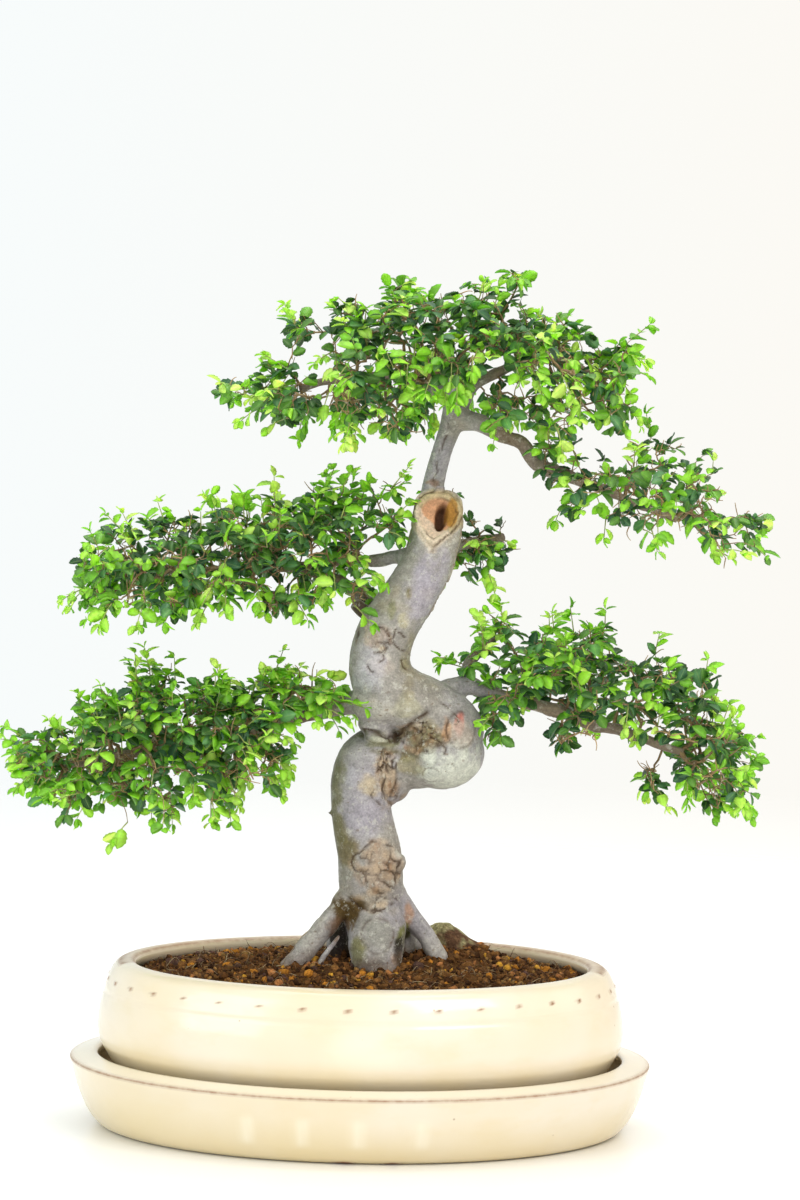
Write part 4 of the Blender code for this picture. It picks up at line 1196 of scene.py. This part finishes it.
def tipsOf(name, rng):  # points in each clump, which repeats from front to back across the pad
    cx, cy, length, depth = spread[name]
    points, outer = [], []
    boxes = np.array(clumps[name])
    low, high = (boxes[:, 1] - boxes[:, 3]).min(), (boxes[:, 1] + boxes[:, 3]).max()
    for x, z, w, h in clumps[name]:
        rise = (2 * z - low - high) / (high - low)
        reach = depth * math.sqrt(max(0.10, 1 - ((x - cx) / length) ** 2)) * (1.06 - 0.5 * max(0, rise))
        reach *= rng.uniform(0.88, 1.08)
        layers = max(1, round(1.5 * reach / w))
        if w < 12:
            layers = 1
        for u in np.linspace(-0.78, 0.78, layers) if layers > 1 else [rng.uniform(-0.35, 0.35)]:
            radii = np.array([w, max(0.62 * w, reach / layers), 1.1 * h * (1 - 0.45 * u * u)])
            middle = np.array([x, cy + reach * u, z - foliage["droop"] * u * u])
            middle = middle + rng.normal(0, 1, 3) * (1.5, 4, 1.5 + 4 * abs(u))
            spacing = foliage["tipSpacing"] * foliage["closeness"].get(name, 1)
            number = max(4, int(4.94 * radii.prod() * mm**3 / spacing**3))
            far = rng.uniform(0.05, 1, (number, 1)) ** (1 / 2.6)
            points.append(middle + unit(rng.normal(size=(number, 3))) * far * np.maximum(radii - 4.5, 3))
            outer.append(far[:, 0])
    points, outer = np.vstack(points) * mm, np.concatenate(outer)
    kept = []
    for i in rng.permutation(len(points)):
        if not kept or np.min(np.linalg.norm(points[kept] - points[i], axis=1)) > 0.56 * spacing:
            kept.append(i)
    points = points[kept]
    stems = np.vstack([smoothPath(trunkPath, 120), smoothPath(leaderPath[1:5], 30)])
    across, upwards = (points[:, None, k] - stems[None, :, k] for k in (0, 2))
    apart = np.hypot(across, upwards) - stems[None, :, 3]
    inside = np.linalg.norm(points[:, None] - stems[None, :, :3], axis=2) - stems[None, :, 3]
    covers = (apart.min(axis=1) < 7 * mm) & (points[:, 1] < 12 * mm)
    return points[~covers & (inside.min(axis=1) > 9 * mm)]


def grow(name, tips, rng):  # joins each tip to the wood by the shortest way, nearest tips first
    spots, far, owner = [], [], []
    for path in limbPaths[name]:
        line = limbLine(path, 150)[36::3, :3]
        spots.append(line)
        far.append(np.full(len(line), 0.0))
        owner.append(np.full(len(line), -1))
    spots, far, owner = np.vstack(spots), np.concatenate(far), np.concatenate(owner)
    order = np.argsort(np.min(np.linalg.norm(tips[:, None] - spots[None], axis=2), axis=1))
    count = foliage["twigPoints"]
    t = np.linspace(0, 1, count)[:, None]
    lines, parents = [], []
    for i in order:
        away = np.linalg.norm(spots - tips[i], axis=1)
        start = np.argmin(away + 0.22 * far + 4 * mm * (away < 5 * mm))
        step = tips[i] - spots[start]
        reach = np.linalg.norm(step)
        bend = rng.normal(size=3) * reach * 0.10 + np.array([0, 0, 0.06 * reach])
        kink = rng.normal(size=(count, 3)) * 0.45 * mm * np.sin(t * math.pi)
        line = spots[start] + step * t + bend * np.sin(t * math.pi) + kink
        lines.append(line)
        parents.append(owner[start])
        spots = np.vstack([spots, line[2::2]])
        far = np.concatenate([far, far[start] + reach * t[2::2, 0]])
        owner = np.concatenate([owner, np.full(len(line[2::2]), len(lines) - 1)])
    carried = np.ones(len(lines))
    for i in range(len(lines) - 1, -1, -1):
        if parents[i] >= 0:
            carried[parents[i]] += carried[i]
    thick = foliage["twigRadius"] * carried**0.40
    lines = np.array(lines)
    radius = thick[:, None] * np.linspace(1.05, 0.72, count)[None]
    return np.concatenate([lines, radius[..., None]], 2)


def spursOn(lines, rng):  # short bare twiglets along the older twigs
    number = int(len(lines) * foliage["spursPerTwig"])
    start = lines[rng.integers(0, len(lines), number), rng.integers(1, foliage["twigPoints"], number), :3]
    out = unit(rng.normal(size=(number, 3)) + np.array([0, 0, 0.3])) * rng.uniform(4, 12, (number, 1)) * mm
    t = np.linspace(0, 1, foliage["twigPoints"])[None, :, None]
    bend = rng.normal(size=(number, 1, 3)) * 0.8 * mm
    route = start[:, None] + out[:, None] * t + bend * np.sin(t * math.pi)
    thick = np.broadcast_to((0.46 - 0.20 * t) * mm, route.shape[:2] + (1,))
    return np.concatenate([route, thick], 2)


def leafTemplate():  # a toothed, folded leaf: each row has its left edge, rib, right edge and underside
    t = np.array([0, 0.08, 0.13, 0.27, 0.32, 0.48, 0.53, 0.69, 0.75, 0.88, 1.0])
    half = np.array([0.025, 0.035, 0.42, 0.86, 0.76, 1.06, 0.92, 1.02, 0.84, 0.62, 0.06])
    half = half * foliage["leafWidth"] / 2
    lift = 0.10 * t - 0.24 * t**2
    middle = np.stack([0 * t, t, lift], 1)
    edge = np.stack([half, t, lift + 0.36 * half], 1)
    under = middle - np.outer(0.022 * np.minimum(1, half / 0.1), [0, 0, 1])
    verts = np.stack([edge * (-1, 1, 1), middle, edge, under], 1).reshape(-1, 3)
    spot = np.stack([np.tile([-1, 0, 1, 0], len(t)), np.repeat(t, 4)], 1)
    k = np.arange(len(t) - 1)[:, None] * 4
    sides = ((0, 1), (1, 2), (2, 3), (3, 0))
    faces = [np.concatenate([k + a, k + b, k + b + 4, k + a + 4], 1) for a, b in sides]
    last = (len(t) - 1) * 4
    caps = np.array([[0, 3, 2, 1], [last, last + 1, last + 2, last + 3]])
    return (verts, np.vstack([*faces, caps])), spot


def placeLeaves(lines, name, rng, young=0.0):  # they alternate along each twig, with a group at its tip
    cx, cy, length, depth = spread[name]
    boxes = np.array(clumps[name]) * mm
    low, high = (boxes[:, 1] - boxes[:, 3]).min(), (boxes[:, 1] + boxes[:, 3]).max()
    base, heading, side, fresh, size = [], [], [], [], []
    middle = np.array([cx * mm, cy * mm, (low + high) / 2])
    halves = np.array([length * mm, depth * mm, (high - low) / 2])
    inner = np.linalg.norm((lines[:, -1, :3] - middle) / halves, axis=1)
    rise = (lines[:, -1, 2] - middle[2]) / halves[2]
    ends = np.abs(lines[:, -1, 0] - middle[0]) / halves[0]
    bare = (rng.uniform(size=len(lines)) < foliage["bareInside"]) & (young == 0)
    bare &= (inner < 0.5) | ((rise < 0.05) & (ends < 0.72))
    for line in lines[~bare]:
        step = np.linalg.norm(np.diff(line[:, :3], axis=0), axis=1)
        run = np.concatenate([[0], np.cumsum(step)])
        gap = foliage["leafSpacing"] * (0.85 if young else 1.0)
        start = max(0.25 * run[-1], run[-1] - 6.2 * gap)
        at = np.arange(run[-1] - rng.uniform(0, 1 * mm), start, -gap * rng.uniform(0.85, 1.2))
        spots = np.stack([np.interp(at, run, line[:, k]) for k in range(3)], 1)
        onward, back = (
            np.stack([np.interp(at + shift, run, line[:, k]) for k in range(3)], 1)
            for shift in (1 * mm, -2 * mm)
        )
        ahead = onward - back
        number = len(at)
        base += [spots, spots[:1], spots[:1]]
        heading += [ahead, ahead[:1], ahead[:1]]
        alternate = np.where(np.arange(number) % 2, 1.0, -1.0) * rng.choice([-1, 1])
        if number:
            side += [alternate, alternate[:1] * 0.15, alternate[:1] * -0.8]
            small = np.linspace(0.62 if young else 0.85, 1.0, number)
            size += [small, small[:1] * 0.9, small[:1]]
            fresh.append(np.full(number + 2, young + rng.normal(0, 0.10)))
    base, heading = np.vstack(base), unit(np.vstack(heading))
    side, size, fresh = np.concatenate(side), np.concatenate(size), np.concatenate(fresh)
    number = len(base)
    out = unit((base - middle) / halves**2 * mm)
    inner = np.linalg.norm((base - middle) / halves, axis=1)
    up = np.array([0, 0, 1.0])
    lateral = unit(np.cross(heading, up) + rng.normal(size=(number, 3)) * 0.12)
    along = heading * 0.60 + lateral * side[:, None] * 0.85 + rng.normal(size=(number, 3)) * 0.30
    along = unit(along - up * rng.uniform(-0.1, 0.38, (number, 1)))
    facing = up * 0.85 + out * 0.40 + rng.normal(size=(number, 3)) * 0.46
    facing = unit(facing - (facing * along).sum(1, keepdims=True) * along)
    across = np.cross(along, facing)
    shortest, longest = foliage["leafLength"]
    long = (shortest + (longest - shortest) * rng.beta(2.2, 2.2, number)) * size
    axes = np.stack([across, along, facing], 1) * long[:, None, None]
    # partly painted light: higher and further-out leaves are lighter, for fresh growth and for light from
    # above; inner ones darker, older and shaded
    height = (base[:, 2] - middle[2]) / ((high - low) / 2)
    farOut = stepUp(0.55, 1.1, np.abs(base[:, 0] - middle[0]) / halves[0])
    tone = foliage["youth"].get(name, 0.26) + 0.30 * stepUp(0.15, 1.0, height)
    tone = tone + 0.26 * farOut + 0.10 * stepUp(0.5, 1.1, inner)
    tone = tone + rng.normal(0, 0.19, number) + 0.4 * (rng.uniform(size=number) < 0.08)
    tone = np.where(young > 0, np.maximum(fresh, 0.55) + rng.normal(0, 0.08, number), tone)
    return base, axes, np.clip(tone, 0, 1)


def freshShoots(lines, name, rng):  # short new growth beyond the outermost tips
    cx, cy, length, depth = spread[name]
    ends = lines[:, -1, :3]
    boxes = np.array(clumps[name])
    middleZ = np.interp(ends[:, 0] / mm, *zip(*sorted({(b[0], b[1]) for b in boxes})))
    rel = (ends / mm - np.stack([0 * middleZ + cx, 0 * middleZ + cy, middleZ], 1)) / (length, depth, 16)
    away = np.linalg.norm(rel * (1, 1, 0.72), axis=1)
    chosen = np.where((away > 0.62) & (rng.uniform(size=len(ends)) < foliage["shootShare"] * 2.2))[0]
    number = len(chosen)
    out = unit(rel[chosen] * (1.0, 0.8, 0.7) + rng.normal(size=(number, 3)) * 0.25 + np.array([0, 0, 0.35]))
    short = np.where(ends[chosen, 2] > 565 * mm, 0.6, 1)[:, None, None]  # at the very top
    reach = rng.uniform(*foliage["shootReach"], (number, 1, 1)) * short
    t = np.linspace(0, 1, foliage["twigPoints"])[None, :, None]
    hanging = (rel[chosen][:, 2] < 0.2)[:, None, None]
    route = ends[chosen][:, None] + out[:, None] * reach * t + np.array([0, 0, -4 * mm]) * t**2 * hanging
    thick = np.linspace(0.5, 0.26, foliage["twigPoints"])[None, :, None] * mm
    thick = np.broadcast_to(thick, route.shape[:2] + (1,))
    return np.concatenate([route, thick], 2)


def leafMaterial():  # stored tones with paler ribs; light passes through and comes out yellower
    material, tree, shader = startMaterial("elm leaf", Roughness=0.38, Specular_IOR_Level=0.6)
    colour = attribute(tree, "leafTone")["Color"]
    spot = addNode(tree, "SeparateXYZ", {0: attribute(tree, "leafSpot")["Vector"]}).outputs
    aside = maths(tree, "ABSOLUTE", spot["X"])
    rib = between(tree, aside, 0.10, 0.03)
    slope = maths(tree, "MULTIPLY", aside, -1.7)
    wave = maths(tree, "FRACT", maths(tree, "ADD", maths(tree, "MULTIPLY", spot["Y"], 9.0), slope))
    vein = maths(tree, "MULTIPLY", between(tree, wave, 0.16, 0.04), 0.5)
    lines = maths(tree, "MAXIMUM", rib, vein)
    colour = blend(tree, maths(tree, "MULTIPLY", lines, 0.35), colour, (0.42, 0.58, 0.16))
    mottled = between(tree, noise(tree, 0.004, 2), 0.3, 0.7, 0.84, 1.14)
    colour = shaded(tree, colour, mottled)
    tree.links.new(colour, shader.inputs["Base Color"])
    bump(tree, shader, lines, 0.12 * mm, 0.5)
    yellower = blend(tree, 1.0, colour, (1.45, 1.35, 0.6), "MULTIPLY")
    through = addNode(tree, "BsdfTranslucent", {"Color": yellower})
    share = foliage["lightThrough"]
    mixed = addNode(tree, "MixShader", {0: share, 1: shader.outputs[0], 2: through.outputs[0]})
    tree.links.new(mixed.outputs[0], tree.nodes["Material Output"].inputs["Surface"])
    return material


def buildFoliage(bark):  # each pad's leaves, in two pieces if there are many, and its twigs
    template, spot = leafTemplate()
    leaf = leafMaterial()
    nodes = {
        "apex": "leaves_apex", "upperRight": "leaves_upper_right",
        "middleLeft": "leaves_middle_left", "middleBack": "leaves_middle_back",
        "lowerLeft": "leaves_lower_left", "lowerRight": "leaves_lower_right",
    }
    tones = np.array([screen(*colour) for _, colour in leafTones])
    marks = [mark for mark, _ in leafTones]
    for index, name in enumerate(clumps):
        rng = np.random.default_rng(foliage["seed"] + index)
        lines = grow(name, tipsOf(name, rng), rng)
        shoots = freshShoots(lines, name, rng)
        old, new = placeLeaves(lines, name, rng), placeLeaves(shoots, name, rng, 0.8)
        base, axes, tone = (np.concatenate([a, b]) for a, b in zip(old, new))
        right = base[:, 0] > spread[name][0] * mm
        halves = (("Left", ~right), ("Right", right))
        if len(base) <= foliage["leavesPerPiece"]:
            halves = (("", np.full(len(base), True)),)
        for end, part in halves:
            verts, faces = scattered(template, base[part], axes[part])
            mesh = meshFrom(name + "Leaves" + end, verts, faces)
            colour = np.stack([np.interp(tone[part], marks, tones[:, k]) for k in range(3)], 1)
            # bluer darker leaves: partly their own bluish green, partly a painted sheen of the white room
            bluish = (tone[part] < 0.5) & (rng.uniform(size=part.sum()) < foliage["bluishShare"])
            colour = np.where(bluish[:, None], colour * np.array([[0.9, 1.0, 1.9]]), colour)
            addNumbers(mesh, "leafTone", np.repeat(colour, len(template[0]), axis=0))
            spots = np.tile(np.hstack([spot, 0 * spot[:, :1]]), (part.sum(), 1)).astype(np.float32)
            layer = mesh.attributes.new("leafSpot", "FLOAT_VECTOR", "POINT")
            layer.data.foreach_set("vector", spots.ravel())
            addPiece(mesh, leaf, "leaf", nodes[name])
        twigs, shades = [], []
        spurs = spursOn(lines, rng)
        for group, shade in ((lines, (146, 120, 84)), (shoots, (156, 166, 92)), (spurs, (166, 136, 94))):
            twigs.append(tubes(group, 4))
            mixed = screen(*shade) * rng.uniform(0.75, 1.25, (len(group), 1))
            shades.append(np.repeat(mixed, len(twigs[-1][0]) // len(group), axis=0))
        mesh = meshFrom(name + "Twigs", *joined(twigs))
        addNumbers(mesh, "bark", np.vstack(shades))
        addPiece(mesh, bark, "bark", "trunk_and_limbs")
        print(name, "has", len(base), "leaves on", len(lines) + len(shoots), "twigs")


buildStudio()
buildPot()
finishDrainScreens()
buildTray()
buildSoil()
buildStone()
bark = buildWood()
buildLimbs(bark)
buildFoliage(bark)
